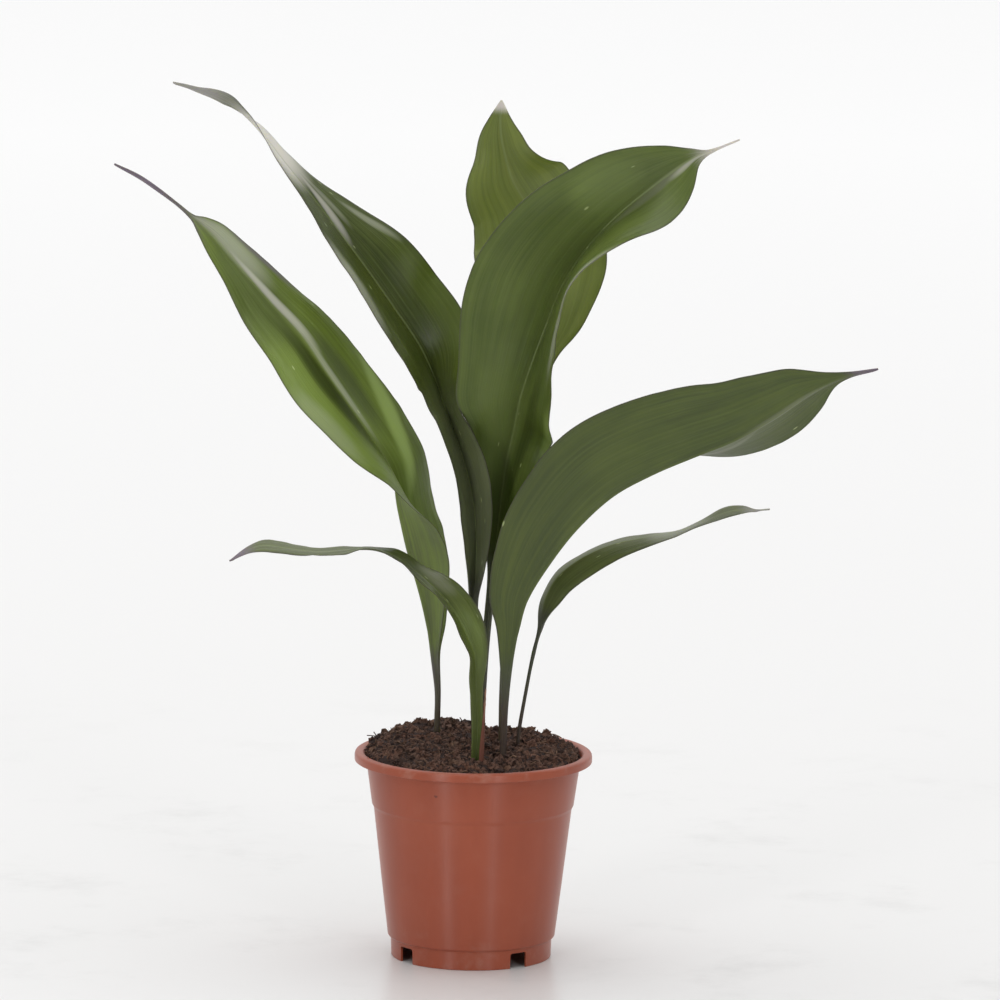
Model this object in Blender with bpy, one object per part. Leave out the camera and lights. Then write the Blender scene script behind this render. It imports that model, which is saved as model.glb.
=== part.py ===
"""A potted cast iron plant (Aspidistra elatior) in a round plastic nursery pot.

Metres, +Z up. The origin is the centre of the pot's foot, on the surface that the pot stands on.
The front of the plant looks along -Y. Leaf tables are in millimetres and degrees.
"""

import math

import bmesh
import bpy
from mathutils import Vector

MM = 0.001
GAP = 0.3  # clearance between touching pieces, mm

# Nursery pot, mm
POT_HEIGHT = 122.0
RIM_RADIUS = 70.0
RIM_INNER_RADIUS = 64.5
RIM_DEPTH = 5.0
WALL = 1.3
FOOT_RADIUS = 47.5
SKIRT_HEIGHT = 11.0
FLOOR_HEIGHT = 10.2
DISH_RADIUS = 16.0
POT_SEGMENTS = 64
NOTCH_WIDTH = 11.5
NOTCH_HEIGHT = 9.2
NOTCH_ANGLE = -53.5
NOTCH_COUNT = 4
DRAIN_RADIUS = 5.0
DRAIN_CIRCLE = 34.0

# Potting soil, mm
SOIL_EDGE_HEIGHT = 119.0
SOIL_CROWN = 9.5
SOIL_CROWN_BIAS = 2.5
SOIL_SHOULDER = 11
SOIL_LUMP_HEIGHT = 1.0
SOIL_RINGS = (0.0, 11.0, 22.0, 33.0, 43.0, 51.0, 57.0, 61.0)
SOIL_SEGMENTS = POT_SEGMENTS

# Rhizomes, mm
RHIZOME_RADIUS = 5.5
RHIZOME_HEIGHT = 112.0
RHIZOME_SIDES = 10
RHIZOME_STEPS = 22
RHIZOME_NODE_SPACING = 8.0
RHIZOME_SWELL = 0.10
FRONT_RHIZOME = ((-30, 25), (-21, 22), (-10, 16), (1, 8), (4, -3), (2, -15), (3, -28), (-1, -36))
BACK_RHIZOME = ((8, 33), (17, 22), (24, 13), (26, 5), (24, -6), (17, -15), (15, -23))

# Leaves, mm
ROOT_HEIGHT = RHIZOME_HEIGHT + RHIZOME_RADIUS * (1 + RHIZOME_SWELL / 2) + GAP
BURIED_HEIGHT = 121.0
PETIOLE_THICKNESS = 2.6
BLADE_THICKNESS = 0.8
PETIOLE_HALF_WIDTH = 3.0
BLADE_HALF_WIDTH = 12.0
ACROSS = (-1.0, -0.7, -0.35, 0.0, 0.35, 0.7, 1.0)
RING_SPACING = 11.5
SOCKET_RADIUS = 3.7
SOCKET_SIDES = 12

# Dry sheath round the foot of the small left leaf's stalk, mm
SHEATH_INNER = 4.4
SHEATH_THICKNESS = 0.6
SHEATH_SOCKET_RADIUS = 5.6
SHEATH_TOP = 165.0
SHEATH_ARC = (-70.0, 80.0)
SHEATH_STEPS = 9
SHEATH_COLUMNS = 7
SHEATH_LEAN = 1.2

# Each station of a leaf: x, y, z of the midrib, half width, roll about the midrib, fold of each half.
# Roll 0 turns the upper face to the front; a positive roll brings the right half forward.
LEAVES = {
    "leaf_tall_left": (
        (1, 8, 132, 2.2, 0, 45),
        (0, 8, 157, 2.2, 0, 45),
        (0, 4, 188, 2.2, 0, 45),
        (-1, -1, 213, 2.8, 0, 45),
        (0, -4, 231, 7, 0, 50),
        (0, -6, 250, 13, -3, 55),
        (-2, -5, 273, 19, -6, 60),
        (-8, -2, 297, 21, -9.5, 63.5),
        (-16, 4, 319, 20, -3.5, 68.5),
        (-20, 7, 328, 19.5, -7, 58),
        (-23, 11, 337, 26, -8, 59),
        (-34, 16, 360, 32, -34, 38),
        (-50, 20, 383, 32, -44, 30),
        (-66, 23, 405, 30, -45, 31),
        (-82, 25, 426, 23, -53, 19),
        (-100, 26, 449, 16, -68, 9),
        (-117, 26, 470, 11.5, -77, 5),
        (-131, 26, 488, 10, -92, 6),
        (-142, 25, 499, 6.5, -114, 5),
        (-149, 24, 504, 8.5, -120, 5),
        (-157, 24, 507.5, 7, -122, 5),
        (-167, 23, 510.5, 3.6, -122, 5),
        (-174, 22, 513, 2, -122, 5),
        (-181, 22, 515, 0.5, -122, 5),
    ),
    "leaf_broad_left": (
        (-21, 22, 134, 2, -90, 45),
        (-21, 22, 154, 2.2, -90, 45),
        (-24, 21, 175, 5.5, -86, 45),
        (-27, 20, 190, 12, -80, 50),
        (-31, 18, 208, 19.5, -86, 49),
        (-36, 16, 226, 27, -90, 52),
        (-40, 14, 240, 30, -91, 50),
        (-43, 12, 253, 31, -90, 43),
        (-46, 11, 267, 31, -81.5, 32.5),
        (-48, 10, 280, 30.5, -72.5, 23.5),
        (-51.5, 9, 291, 29.5, -63.5, 18.5),
        (-63, 6, 309, 28.5, -49.5, 11.5),
        (-76, 3, 328, 28, -42.5, 4.5),
        (-89, 0, 347, 28, -38, -4),
        (-104, -3, 369, 25.5, -38, -9),
        (-123, -6, 390, 21.5, -39, -9),
        (-141, -8, 411, 16, -43, 2),
        (-155, -9, 428, 11, -43, 3),
        (-163, -10, 436, 6, -45, 4),
        (-168, -10, 440, 2, -45, 5),
        (-176, -10, 447, 0.9, -45, 5),
        (-188, -10, 456, 1.2, -45, 5),
        (-200, -10, 464, 1.2, -45, 5),
        (-214, -10, 471, 0.5, -45, 5),
    ),
    "leaf_small_left": (
        (2, -28, 124, 3.4, 0, 45),
        (2, -29, 147, 3.6, 0, 45),
        (1, -31, 168, 4.6, -5, 42),
        (0, -33, 186, 8, -36, 38),
        (-5, -35, 199, 12.5, -45, 34),
        (-12, -37, 212, 15, -60, 25),
        (-22, -39, 225, 17, -75, 15),
        (-34, -40, 236, 18, -85, 8),
        (-45, -42, 245, 18, -90, 4),
        (-57, -43, 250, 18, -97, 0),
        (-66, -44, 251, 18, -98, 0),
        (-78, -45, 250, 18, -92, 0),
        (-91, -46, 249, 17, -93, 0),
        (-103, -47, 250, 15.5, -91, 0),
        (-115, -49, 252, 13, -87, 0),
        (-125, -50, 253, 10, -82, 0),
        (-134, -51, 250, 6, -82, 0),
        (-144, -52, 244, 0.5, -82, 0),
    ),
    "leaf_centre_front": (
        (4, -3, 132, 2, 0, 45),
        (5, -1, 165, 2, 0, 45),
        (7.5, 2, 201, 2, 0, 45),
        (10, 4, 227, 3.5, 0, 45),
        (12, 6, 248, 9, 0, 45),
        (14, 8, 268, 16, 0, 42),
        (17, 8, 293, 24, 4, 36),
        (21, 5, 313, 27, 3, 33),
        (25, -5, 335, 38.2, 18.7, 37.7),
        (31, -15, 356, 45, 27, 42),
        (38, -22, 377, 52, 32, 47),
        (48, -32, 405, 56, 34, 51.5),
        (62, -40, 429, 52, 36, 54),
        (80, -46, 450, 41, 34, 45),
        (99, -50, 467, 31, 22, 30),
        (115, -53, 480, 16, 10, 12),
        (124, -54, 486, 6, 0, 5),
        (132, -54, 489, 1.6, 0, 0),
        (150, -56, 497, 0.5, 0, 0),
    ),
    "leaf_centre_back": (
        (17, 22, 129, 2, 0, 45),
        (17, 24, 148, 2, 0, 45),
        (18, 30, 180, 2, 0, 45),
        (20, 35, 207, 2, 0, 45),
        (24, 40, 238, 2, 0, 45),
        (28, 47, 274, 2, 0, 45),
        (32, 52, 306, 2.4, 0, 45),
        (35, 57, 332, 5, 0, 40),
        (36, 61, 351, 14, 0, 30),
        (38, 66, 370, 27, 0, 20),
        (37, 72, 392, 38, 0, 12),
        (34.5, 78, 415, 39.5, 0, 10),
        (27, 82, 435, 34.5, 0, 10),
        (18.5, 83, 450, 30, 0, 10),
        (14, 84, 465, 19, 16, 16),
        (11.5, 85, 477, 13, 14, 14),
        (11, 86, 487, 6.5, 10, 10),
        (11.5, 87, 497, 0.5, 0, 0),
    ),
    "leaf_broad_right": (
        (17, -15, 129, 2.6, 90, 45),
        (18, -18, 157, 2.8, 95, 50),
        (21, -21, 181, 7.5, 100, 55),
        (25, -24, 200, 14, 105, 55),
        (30, -27, 218.5, 24.5, 112, 54),
        (43.5, -31, 242, 36, 115, 55),
        (59, -34, 263, 43, 119, 51),
        (79.5, -37, 283, 48, 123, 47),
        (101.5, -39, 296, 47.5, 129, 43),
        (125, -41, 307, 44.5, 136, 35),
        (151, -43, 318.5, 38.5, 144, 27),
        (173, -45, 332, 32, 146, 20),
        (191, -46, 345, 21.5, 148, 17),
        (206, -47, 354, 7, 146, 15),
        (217, -47, 358, 2.4, 145, 15),
        (233, -48, 362, 0.5, 145, 15),
    ),
    "leaf_small_right": (
        (26, 5, 131, 1, 50, 20),
        (30, 8, 156, 0.9, 50, 20),
        (34, 10, 178, 1, 50, 20),
        (38, 12, 195, 1.8, 50, 0),
        (41, 12, 211, 9, 52, -26),
        (48, 11, 225, 12.5, 58, -28),
        (62, 9, 237, 13.5, 63, -28),
        (80, 6, 246, 13, 71, -21),
        (99, 3, 251, 11, 79, -13),
        (117, 0, 255, 10, 90, -6),
        (131, -3, 261, 9, 90, 0),
        (146, -5, 268, 7.5, 75, 0),
        (156, -6, 270, 5, 73, 0),
        (164, -7, 270, 0.9, 73, 0),
        (172, -8, 271, 0.5, 73, 0),
    ),
}

LEAF_COLOURS = {
    "leaf_tall_left": (0.06, 0.16, 0.05),
    "leaf_broad_left": (0.13, 0.25, 0.05),
    "leaf_small_left": (0.10, 0.22, 0.05),
    "leaf_centre_front": (0.05, 0.14, 0.05),
    "leaf_centre_back": (0.06, 0.16, 0.06),
    "leaf_broad_right": (0.06, 0.15, 0.05),
    "leaf_small_right": (0.09, 0.18, 0.05),
}


def material(name, colour, roughness):
    made = bpy.data.materials.new(name)
    made.use_nodes = True
    shader = made.node_tree.nodes["Principled BSDF"]
    shader.inputs["Base Color"].default_value = (*colour, 1.0)
    shader.inputs["Roughness"].default_value = roughness
    shader.inputs["Metallic"].default_value = 0.0
    return made


def solid(name, points, faces, finish):
    """One object from points in mm; its faces are turned outwards."""
    mesh = bpy.data.meshes.new(name)
    shape = bmesh.new()
    corners = [shape.verts.new(Vector(p) * MM) for p in points]
    for face in faces:
        shape.faces.new([corners[i] for i in face])
    bmesh.ops.recalc_face_normals(shape, faces=shape.faces)
    shape.to_mesh(mesh)
    shape.free()
    mesh.shade_smooth()
    mesh.set_sharp_from_angle(angle=math.radians(35))
    mesh.materials.append(finish)
    made = bpy.data.objects.new(name, mesh)
    bpy.context.scene.collection.objects.link(made)
    return made


def turned_faces(rings, sides):
    """Faces of a stack of closed rings whose first and last ring are each one point."""
    faces = []
    for k in range(rings - 1):
        low = 1 + (k - 1) * sides
        high = low + sides
        for s in range(sides):
            t = (s + 1) % sides
            if k == 0:
                faces.append((0, 1 + s, 1 + t))
            elif k == rings - 2:
                faces.append((low + s, low + t, high))
            else:
                faces.append((low + s, low + t, high + t, high + s))
    return faces


def turned(name, profile, sides, finish):
    """A body turned about Z from (radius, height) points that start and end on the axis."""
    points = [(0.0, 0.0, profile[0][1])]
    for radius, height in profile[1:-1]:
        for s in range(sides):
            angle = math.tau * s / sides
            points.append((radius * math.cos(angle), radius * math.sin(angle), height))
    points.append((0.0, 0.0, profile[-1][1]))
    return solid(name, points, turned_faces(len(profile), sides), finish)


def front_point(radius, degrees):
    """A plan position measured round from the front towards +X."""
    angle = math.radians(degrees)
    return radius * math.sin(angle), -radius * math.cos(angle)


def cut(target, cutter):
    cutter.hide_render = True
    cutter.display_type = "WIRE"
    step = target.modifiers.new(cutter.name, "BOOLEAN")
    step.operation = "DIFFERENCE"
    step.solver = "EXACT"
    step.object = cutter


def wall_outside():
    """Outer side of the pot's wall above the skirt, bottom to top, as (radius, height)."""
    return (
        (FOOT_RADIUS, SKIRT_HEIGHT),
        (49.3, 12.5),
        (53.2, 44.7),
        (58.4, 89.0),
        (59.6, 91.5),
        (62.8, POT_HEIGHT - RIM_DEPTH - 3.0),
    )


def inside_profile(gap):
    """Inner side of the pot from the dish in its floor to under the rim, drawn in by a gap."""
    floor_top = FLOOR_HEIGHT + WALL + gap
    inner = [(DISH_RADIUS - 1.5 - gap, WALL + gap), (DISH_RADIUS + 0.5 - gap, floor_top)]
    inner.append((FOOT_RADIUS - WALL - gap, floor_top))
    for radius, height in wall_outside()[1:]:
        inner.append((radius - WALL - gap, height + 0.5))
    return inner


def build_pot():
    finish = material("terracotta_plastic", (0.26, 0.075, 0.035), 0.45)
    top = POT_HEIGHT
    under = POT_HEIGHT - RIM_DEPTH
    profile = [(0.0, 0.0), (DISH_RADIUS, 0.0), (DISH_RADIUS + 1.8, FLOOR_HEIGHT)]
    profile += [(FOOT_RADIUS - WALL - 0.2, FLOOR_HEIGHT), (FOOT_RADIUS - WALL - 0.4, 0.0)]
    profile.append((FOOT_RADIUS - 0.4, 0.0))
    profile += wall_outside()
    profile += [(63.4, under - 0.4), (RIM_RADIUS - 1.2, under), (RIM_RADIUS, under + 1.2)]
    profile += [(RIM_RADIUS, top - 1.2), (RIM_RADIUS - 1.2, top), (RIM_INNER_RADIUS + 0.8, top)]
    profile += [(RIM_INNER_RADIUS, top - 0.8), (63.2, under + 0.4)]
    profile += reversed(inside_profile(0.0))
    profile.append((0.0, WALL))
    pot = turned("nursery_pot", profile, POT_SEGMENTS, finish)
    low, high = FLOOR_HEIGHT - 3.0, FLOOR_HEIGHT + WALL + 3.0
    drill = ((0.0, low), (DRAIN_RADIUS, low), (DRAIN_RADIUS, high), (0.0, high))
    for k in range(NOTCH_COUNT):
        degrees = NOTCH_ANGLE + 360.0 / NOTCH_COUNT * k
        x, y = front_point(FOOT_RADIUS, degrees)
        half = NOTCH_WIDTH / 2
        box = [(a, b, c) for a in (-half, half) for b in (-4.0, 4.0) for c in (-2.0, NOTCH_HEIGHT)]
        sides = ((0, 1, 3, 2), (4, 6, 7, 5), (0, 4, 5, 1), (2, 3, 7, 6), (0, 2, 6, 4), (1, 5, 7, 3))
        notch = solid(f"notch_cutter_{k}", box, sides, finish)
        notch.location = Vector((x, y, 0.0)) * MM
        notch.rotation_euler[2] = math.radians(degrees)
        cut(pot, notch)
        x, y = front_point(DRAIN_CIRCLE, degrees)
        drain = turned(f"drain_cutter_{k}", drill, 16, finish)
        drain.location = Vector((x, y, 0.0)) * MM
        cut(pot, drain)


def soil_height(x, y):
    """Height of the mound, highest at the back left, with low lumps."""
    radius = math.hypot(x, y) / (RIM_INNER_RADIUS - 1.5)
    crown = SOIL_CROWN + SOIL_CROWN_BIAS * (y - x) / 60.0
    lumps = math.sin(x * 0.21 + 1.0) * math.cos(y * 0.17) + 0.6 * math.sin(x * 0.09 - y * 0.26)
    lumps *= SOIL_LUMP_HEIGHT
    return SOIL_EDGE_HEIGHT + crown * (1 - radius**SOIL_SHOULDER) + lumps * (1 - radius**4)


def rhizome(name, route, extra, finish):
    """A knobbly underground stem along a plan route; extra widens it for the cutter."""
    points = []
    centres = along([(x, y, RHIZOME_HEIGHT) for x, y in route], RHIZOME_STEPS)
    length = 0.0
    for k, centre in enumerate(centres):
        ahead = Vector(centres[min(k + 1, RHIZOME_STEPS - 1)]) - Vector(centres[max(k - 1, 0)])
        side = ahead.cross(Vector((0, 0, 1))).normalized()
        if k:
            length += (Vector(centre) - Vector(centres[k - 1])).length
        swell = 1 + RHIZOME_SWELL * math.cos(math.tau * length / RHIZOME_NODE_SPACING)
        taper = 0.6 if k in (0, RHIZOME_STEPS - 1) else 1.0
        radius = RHIZOME_RADIUS * swell * taper + extra
        for s in range(RHIZOME_SIDES):
            angle = math.tau * s / RHIZOME_SIDES
            reach = side * math.cos(angle) + Vector((0, 0, math.sin(angle)))
            points.append(Vector(centre) + reach * radius)
    first, last = Vector(centres[0]), Vector(centres[-1])
    tip = RHIZOME_RADIUS * 0.4 + extra
    tip_low = first - (Vector(centres[1]) - first).normalized() * tip
    tip_high = last + (last - Vector(centres[-2])).normalized() * tip
    points = [tip_low] + points + [tip_high]
    return solid(name, points, turned_faces(RHIZOME_STEPS + 2, RHIZOME_SIDES), finish)


def along(rows, count):
    """Rows of numbers smoothed into count rows, evenly spaced along their first three columns."""
    steps = [0.0]
    for before, after in zip(rows, rows[1:]):
        steps.append(steps[-1] + math.dist(before[:3], after[:3]))
    slopes = []
    for k in range(len(rows)):
        low, high = max(k - 1, 0), min(k + 1, len(rows) - 1)
        span = steps[high] - steps[low]
        slopes.append([(b - a) / span for a, b in zip(rows[low], rows[high])])
    result = []
    piece = 0
    for n in range(count):
        place = steps[-1] * n / (count - 1)
        while piece < len(rows) - 2 and place > steps[piece + 1]:
            piece += 1
        span = steps[piece + 1] - steps[piece]
        t = (place - steps[piece]) / span
        start, end = 2 * t**3 - 3 * t**2 + 1, 3 * t**2 - 2 * t**3
        lead, trail = (t**3 - 2 * t**2 + t) * span, (t**3 - t**2) * span
        row = []
        for column in range(len(rows[0])):
            value = start * rows[piece][column] + end * rows[piece + 1][column]
            value += lead * slopes[piece][column] + trail * slopes[piece + 1][column]
            row.append(value)
        result.append(row)
    return result


def leaf_section(row, tangent):
    """Ring of points across a leaf: its upper face left to right, then its lower face back."""
    centre = Vector(row[:3])
    half, roll, fold = row[3], math.radians(row[4]), math.radians(row[5])
    forward = Vector((0, -1, 0))
    normal0 = (forward - tangent * forward.dot(tangent)).normalized()
    side0 = tangent.cross(normal0)
    side = side0 * math.cos(roll) + normal0 * math.sin(roll)
    normal = normal0 * math.cos(roll) - side0 * math.sin(roll)
    share = min(max((half - PETIOLE_HALF_WIDTH) / (BLADE_HALF_WIDTH - PETIOLE_HALF_WIDTH), 0.0), 1.0)
    middle = PETIOLE_THICKNESS + (BLADE_THICKNESS * 1.6 - PETIOLE_THICKNESS) * share
    middle = min(middle, 1.3 * half)
    margin = min(BLADE_THICKNESS, 0.8 * half)
    upper, lower = [], []
    for u in ACROSS:
        hand = -1 if u < 0 else 1
        reach = side * (u * math.cos(fold)) + normal * (abs(u) * math.sin(fold))
        face = normal if u == 0 else normal * math.cos(fold) - side * (hand * math.sin(fold))
        point = centre + reach * half
        depth = margin + (middle - margin) * (1 - abs(u)) ** 1.5
        upper.append(point)
        lower.append(point - face * depth)
    return upper + lower[::-1]


def build_leaf(name, stations):
    finish = material(name + "_green", LEAF_COLOURS[name], 0.35)
    x, y, z, half, roll, fold = stations[0]
    stations = ((x, y, ROOT_HEIGHT, half, roll, fold), (x, y, BURIED_HEIGHT, half, roll, fold)) + stations
    length = sum(math.dist(a[:3], b[:3]) for a, b in zip(stations, stations[1:]))
    rows = along(stations, round(length / RING_SPACING))
    points = []
    for k, row in enumerate(rows):
        ahead = Vector(rows[min(k + 1, len(rows) - 1)][:3]) - Vector(rows[max(k - 1, 0)][:3])
        tangent = ahead.normalized()
        if k == 0:
            tangent = Vector((0, 0, 1))
        points += leaf_section(row, tangent)
    ring = 2 * len(ACROSS)
    faces = [tuple(range(ring)), tuple(range(len(points) - ring, len(points)))]
    for k in range(len(rows) - 1):
        for s in range(ring):
            t = (s + 1) % ring
            faces.append((k * ring + s, k * ring + t, (k + 1) * ring + t, (k + 1) * ring + s))
    solid(name, points, faces, finish)


def build_sheath():
    """A dry papery scale that wraps one side of a stalk and stands in the same hole in the soil."""
    finish = material("dry_sheath_brown", (0.20, 0.055, 0.03), 0.7)
    x, y = LEAVES["leaf_small_left"][0][:2]
    points = []
    heights = [ROOT_HEIGHT + (SHEATH_TOP - ROOT_HEIGHT) * k / (SHEATH_STEPS - 1) for k in range(SHEATH_STEPS)]
    for height in heights:
        share = (height - ROOT_HEIGHT) / (SHEATH_TOP - ROOT_HEIGHT)
        middle = sum(SHEATH_ARC) / 2
        half = (SHEATH_ARC[1] - SHEATH_ARC[0]) / 2 * (1 - 0.8 * share**2)
        lean = SHEATH_LEAN * share**2
        for radius in (SHEATH_INNER, SHEATH_INNER + SHEATH_THICKNESS):
            arc = [middle + half * (2 * s / (SHEATH_COLUMNS - 1) - 1) for s in range(SHEATH_COLUMNS)]
            if radius > SHEATH_INNER:
                arc.reverse()
            for degrees in arc:
                angle = math.radians(degrees)
                points.append((x + lean + radius * math.cos(angle), y + radius * math.sin(angle), height))
    ring = 2 * SHEATH_COLUMNS
    faces = [tuple(range(ring)), tuple(range(len(points) - ring, len(points)))]
    for k in range(SHEATH_STEPS - 1):
        for s in range(ring):
            t = (s + 1) % ring
            faces.append((k * ring + s, k * ring + t, (k + 1) * ring + t, (k + 1) * ring + s))
    solid("dry_sheath", points, faces, finish)


def build_soil(cutters):
    """The root ball of peat: it fills the pot, rises in a mound and has a hole for each stalk."""
    finish = material("peat", (0.045, 0.028, 0.02), 0.95)
    floor = inside_profile(GAP)
    profile = [(0.0, WALL + GAP)] + floor + [(63.2 - GAP - 0.2, SOIL_EDGE_HEIGHT - 1.0)]
    points = [(0.0, 0.0, profile[0][1])]
    levels = [(radius, height, False) for radius, height in profile[1:]]
    levels += [(radius, 0.0, True) for radius in reversed(SOIL_RINGS[1:])]
    for radius, height, mound in levels:
        for s in range(SOIL_SEGMENTS):
            angle = math.tau * s / SOIL_SEGMENTS
            x, y = radius * math.cos(angle), radius * math.sin(angle)
            points.append((x, y, soil_height(x, y) if mound else height))
    points.append((0.0, 0.0, soil_height(0.0, 0.0)))
    soil = solid("potting_soil", points, turned_faces(len(levels) + 2, SOIL_SEGMENTS), finish)
    for cutter in cutters:
        cut(soil, cutter)
    for name, stations in LEAVES.items():
        x, y = stations[0][:2]
        radius = SHEATH_SOCKET_RADIUS if name == "leaf_small_left" else SOCKET_RADIUS
        low, high = RHIZOME_HEIGHT, POT_HEIGHT + 30.0
        profile = ((0.0, low), (radius, low), (radius, high), (0.0, high))
        socket = turned(name + "_socket_cutter", profile, SOCKET_SIDES, finish)
        socket.location = Vector((x, y, 0.0)) * MM
        cut(soil, socket)


def main():
    for old in list(bpy.data.objects):
        bpy.data.objects.remove(old, do_unlink=True)
    build_pot()
    bark = material("rhizome_skin", (0.30, 0.20, 0.11), 0.8)
    rhizome("rhizome_front", FRONT_RHIZOME, 0.0, bark)
    rhizome("rhizome_back", BACK_RHIZOME, 0.0, bark)
    clearance = GAP + 0.1
    cutters = [
        rhizome("rhizome_front_cutter", FRONT_RHIZOME, clearance, bark),
        rhizome("rhizome_back_cutter", BACK_RHIZOME, clearance, bark),
    ]
    build_soil(cutters)
    build_sheath()
    for name, stations in LEAVES.items():
        build_leaf(name, stations)


main()
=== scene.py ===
"""Looks of a potted cast iron plant: a round nursery pot of peat with seven strap leaves on stalks.

Metres, +Z up. Tables that a grower could measure with a ruler are in millimetres and degrees.
"""

import math

import bmesh
import bpy
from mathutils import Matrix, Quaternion, Vector


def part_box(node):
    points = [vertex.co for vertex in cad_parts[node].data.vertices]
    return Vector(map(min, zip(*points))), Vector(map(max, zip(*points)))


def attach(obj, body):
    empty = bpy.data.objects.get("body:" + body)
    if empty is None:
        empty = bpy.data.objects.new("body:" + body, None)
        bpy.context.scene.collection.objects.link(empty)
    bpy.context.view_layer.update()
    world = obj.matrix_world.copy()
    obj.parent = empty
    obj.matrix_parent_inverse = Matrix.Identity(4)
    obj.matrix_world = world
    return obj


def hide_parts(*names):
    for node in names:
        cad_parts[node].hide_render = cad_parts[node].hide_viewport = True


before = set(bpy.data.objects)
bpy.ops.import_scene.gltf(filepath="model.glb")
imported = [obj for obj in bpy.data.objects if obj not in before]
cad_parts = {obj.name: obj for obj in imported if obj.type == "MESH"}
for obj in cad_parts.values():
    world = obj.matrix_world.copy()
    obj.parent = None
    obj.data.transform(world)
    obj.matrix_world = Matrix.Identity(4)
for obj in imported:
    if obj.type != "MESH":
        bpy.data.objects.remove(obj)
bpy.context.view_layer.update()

# --- Nursery pot -------------------------------------------------------------
# A tapered pot for growing on, injection moulded in one shot of terracotta-coloured plastic.
# The wall is thin, the rim is a rolled bead, and the foot is a skirt with notches that let water out.

MM = 0.001
POT_SIDES = 224
POT_SHARP_ANGLE = 30.0
POT_WALL = 1.3
FOOT_RADIUS = 47.5
SKIRT_HEIGHT = 11.0
POT_FLOOR = 10.2
DISH_RADIUS = 16.0
RIM_DEPTH = 5.0
RIM_INNER = 64.5
NOTCH_SIZE = (11.5, 9.2)
NOTCH_CORNER = 1.2
NOTCH_CHAMFER = 0.35
NOTCH_ANGLES = (-53.5, 36.5, 126.5, 216.5)
DRAIN_CIRCLE = 34.0
DRAIN_RADIUS = 5.0
DRAIN_SIDES = 32
ARC_STEP = 0.35
FOOT_DUST_HEIGHT = (0.030, 0.0)
RIM_DUST_HEIGHT = (0.112, 0.121)
FLOW_STRETCH = (60.0, 60.0, 4.0)
SCRATCH_SIZE = 420.0
DUST_SIZE = 75.0
SPECK_EDGE = (0.0022, 0.0014)
TERRACOTTA = (0.315, 0.067, 0.030)
TERRACOTTA_PALE = (0.36, 0.090, 0.044)
TERRACOTTA_DEEP = (0.285, 0.059, 0.026)
POT_DUST = (0.52, 0.40, 0.33)
SPECK_PLACE = Vector((-22.0, -58.6, 106.0)) * MM
SPECK_BROWN = (0.07, 0.022, 0.015)

pot_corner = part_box("nursery_pot")[1]
rim_radius = pot_corner[0] / MM
pot_height = pot_corner[2] / MM


class Field:
    """An output of a node, mostly a value that varies over a surface; arithmetic on it adds nodes."""

    def __init__(self, tree, socket):
        self.tree = tree
        self.socket = socket

    def __abs__(self):
        return calc("ABSOLUTE", self)


def put(tree, kind, inputs=(), **settings):
    """Adds a node; each input is a plain value or a field."""
    made = tree.nodes.new(kind)
    for label, value in settings.items():
        setattr(made, label, value)
    for key, value in dict(inputs).items():
        if isinstance(value, Field):
            tree.links.new(value.socket, made.inputs[key])
        else:
            made.inputs[key].default_value = value
    return made


def field(tree, kind, inputs=(), output=0, **settings):
    """One output of a new node."""
    return Field(tree, put(tree, kind, inputs, **settings).outputs[output])


def join(value, node, label):
    """Leads a field into an input of a node."""
    value.tree.links.new(value.socket, node.inputs[label])


def calc(operation, first, second=0.0, clamp=False):
    """One step of arithmetic on two values, of which one at least is a field."""
    tree = first.tree if isinstance(first, Field) else second.tree
    return field(tree, "ShaderNodeMath", {0: first, 1: second}, operation=operation, use_clamp=clamp)


# Sums, differences, products, quotients and powers of fields, with a field or a number on either side.
SIGNS = {"add": "ADD", "sub": "SUBTRACT", "mul": "MULTIPLY", "truediv": "DIVIDE", "pow": "POWER"}
for sign, operation in SIGNS.items():
    setattr(Field, f"__{sign}__", lambda one, other, step=operation: calc(step, one, other))
    setattr(Field, f"__r{sign}__", lambda one, other, step=operation: calc(step, other, one))


def vector(operation, first, second, output=0):
    """One step of arithmetic on places and directions; SCALE takes a number as its second value."""
    key = "Scale" if operation == "SCALE" else 1
    return field(first.tree, "ShaderNodeVectorMath", {0: first, key: second}, output, operation=operation)


def height_of(place):
    """How high a place is."""
    return field(place.tree, "ShaderNodeSeparateXYZ", {0: place}, 2)


def rise(value, start, end, smooth=True):
    """0 below start and 1 above end, or the other way round where start is the larger."""
    kind = "SMOOTHSTEP" if smooth else "LINEAR"
    inputs = {"Value": value, "From Min": start, "From Max": end}
    if start > end:
        inputs = {"Value": value, "From Min": end, "From Max": start, "To Min": 1.0, "To Max": 0.0}
    return field(value.tree, "ShaderNodeMapRange", inputs, interpolation_type=kind)


def tint(share, first, second):
    """The first colour taken towards the second by a share."""
    first, second = (c if isinstance(c, Field) else (*c, 1.0) for c in (first, second))
    return field(share.tree, "ShaderNodeMix", {"Factor": share, 6: first, 7: second}, 2, data_type="RGBA")


def grain(place, scale, detail=2.0, roughness=0.5):
    """Soft noise from 0 to 1."""
    inputs = {"Vector": place, "Scale": scale, "Detail": detail, "Roughness": roughness}
    return field(place.tree, "ShaderNodeTexNoise", inputs)


def finish(name, roughness, specular, **even):
    """A material, its shader, and places on the piece; even values are set on the shader's own sockets."""
    made = bpy.data.materials.new(name)
    made.use_nodes = True
    shader = made.node_tree.nodes["Principled BSDF"]
    shader.inputs["Roughness"].default_value = roughness
    shader.inputs["Specular IOR Level"].default_value = specular
    for label, value in even.items():
        shader.inputs[label.replace("_", " ").title()].default_value = value
    return made, shader, field(made.node_tree, "ShaderNodeTexCoord", output="Object")


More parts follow.
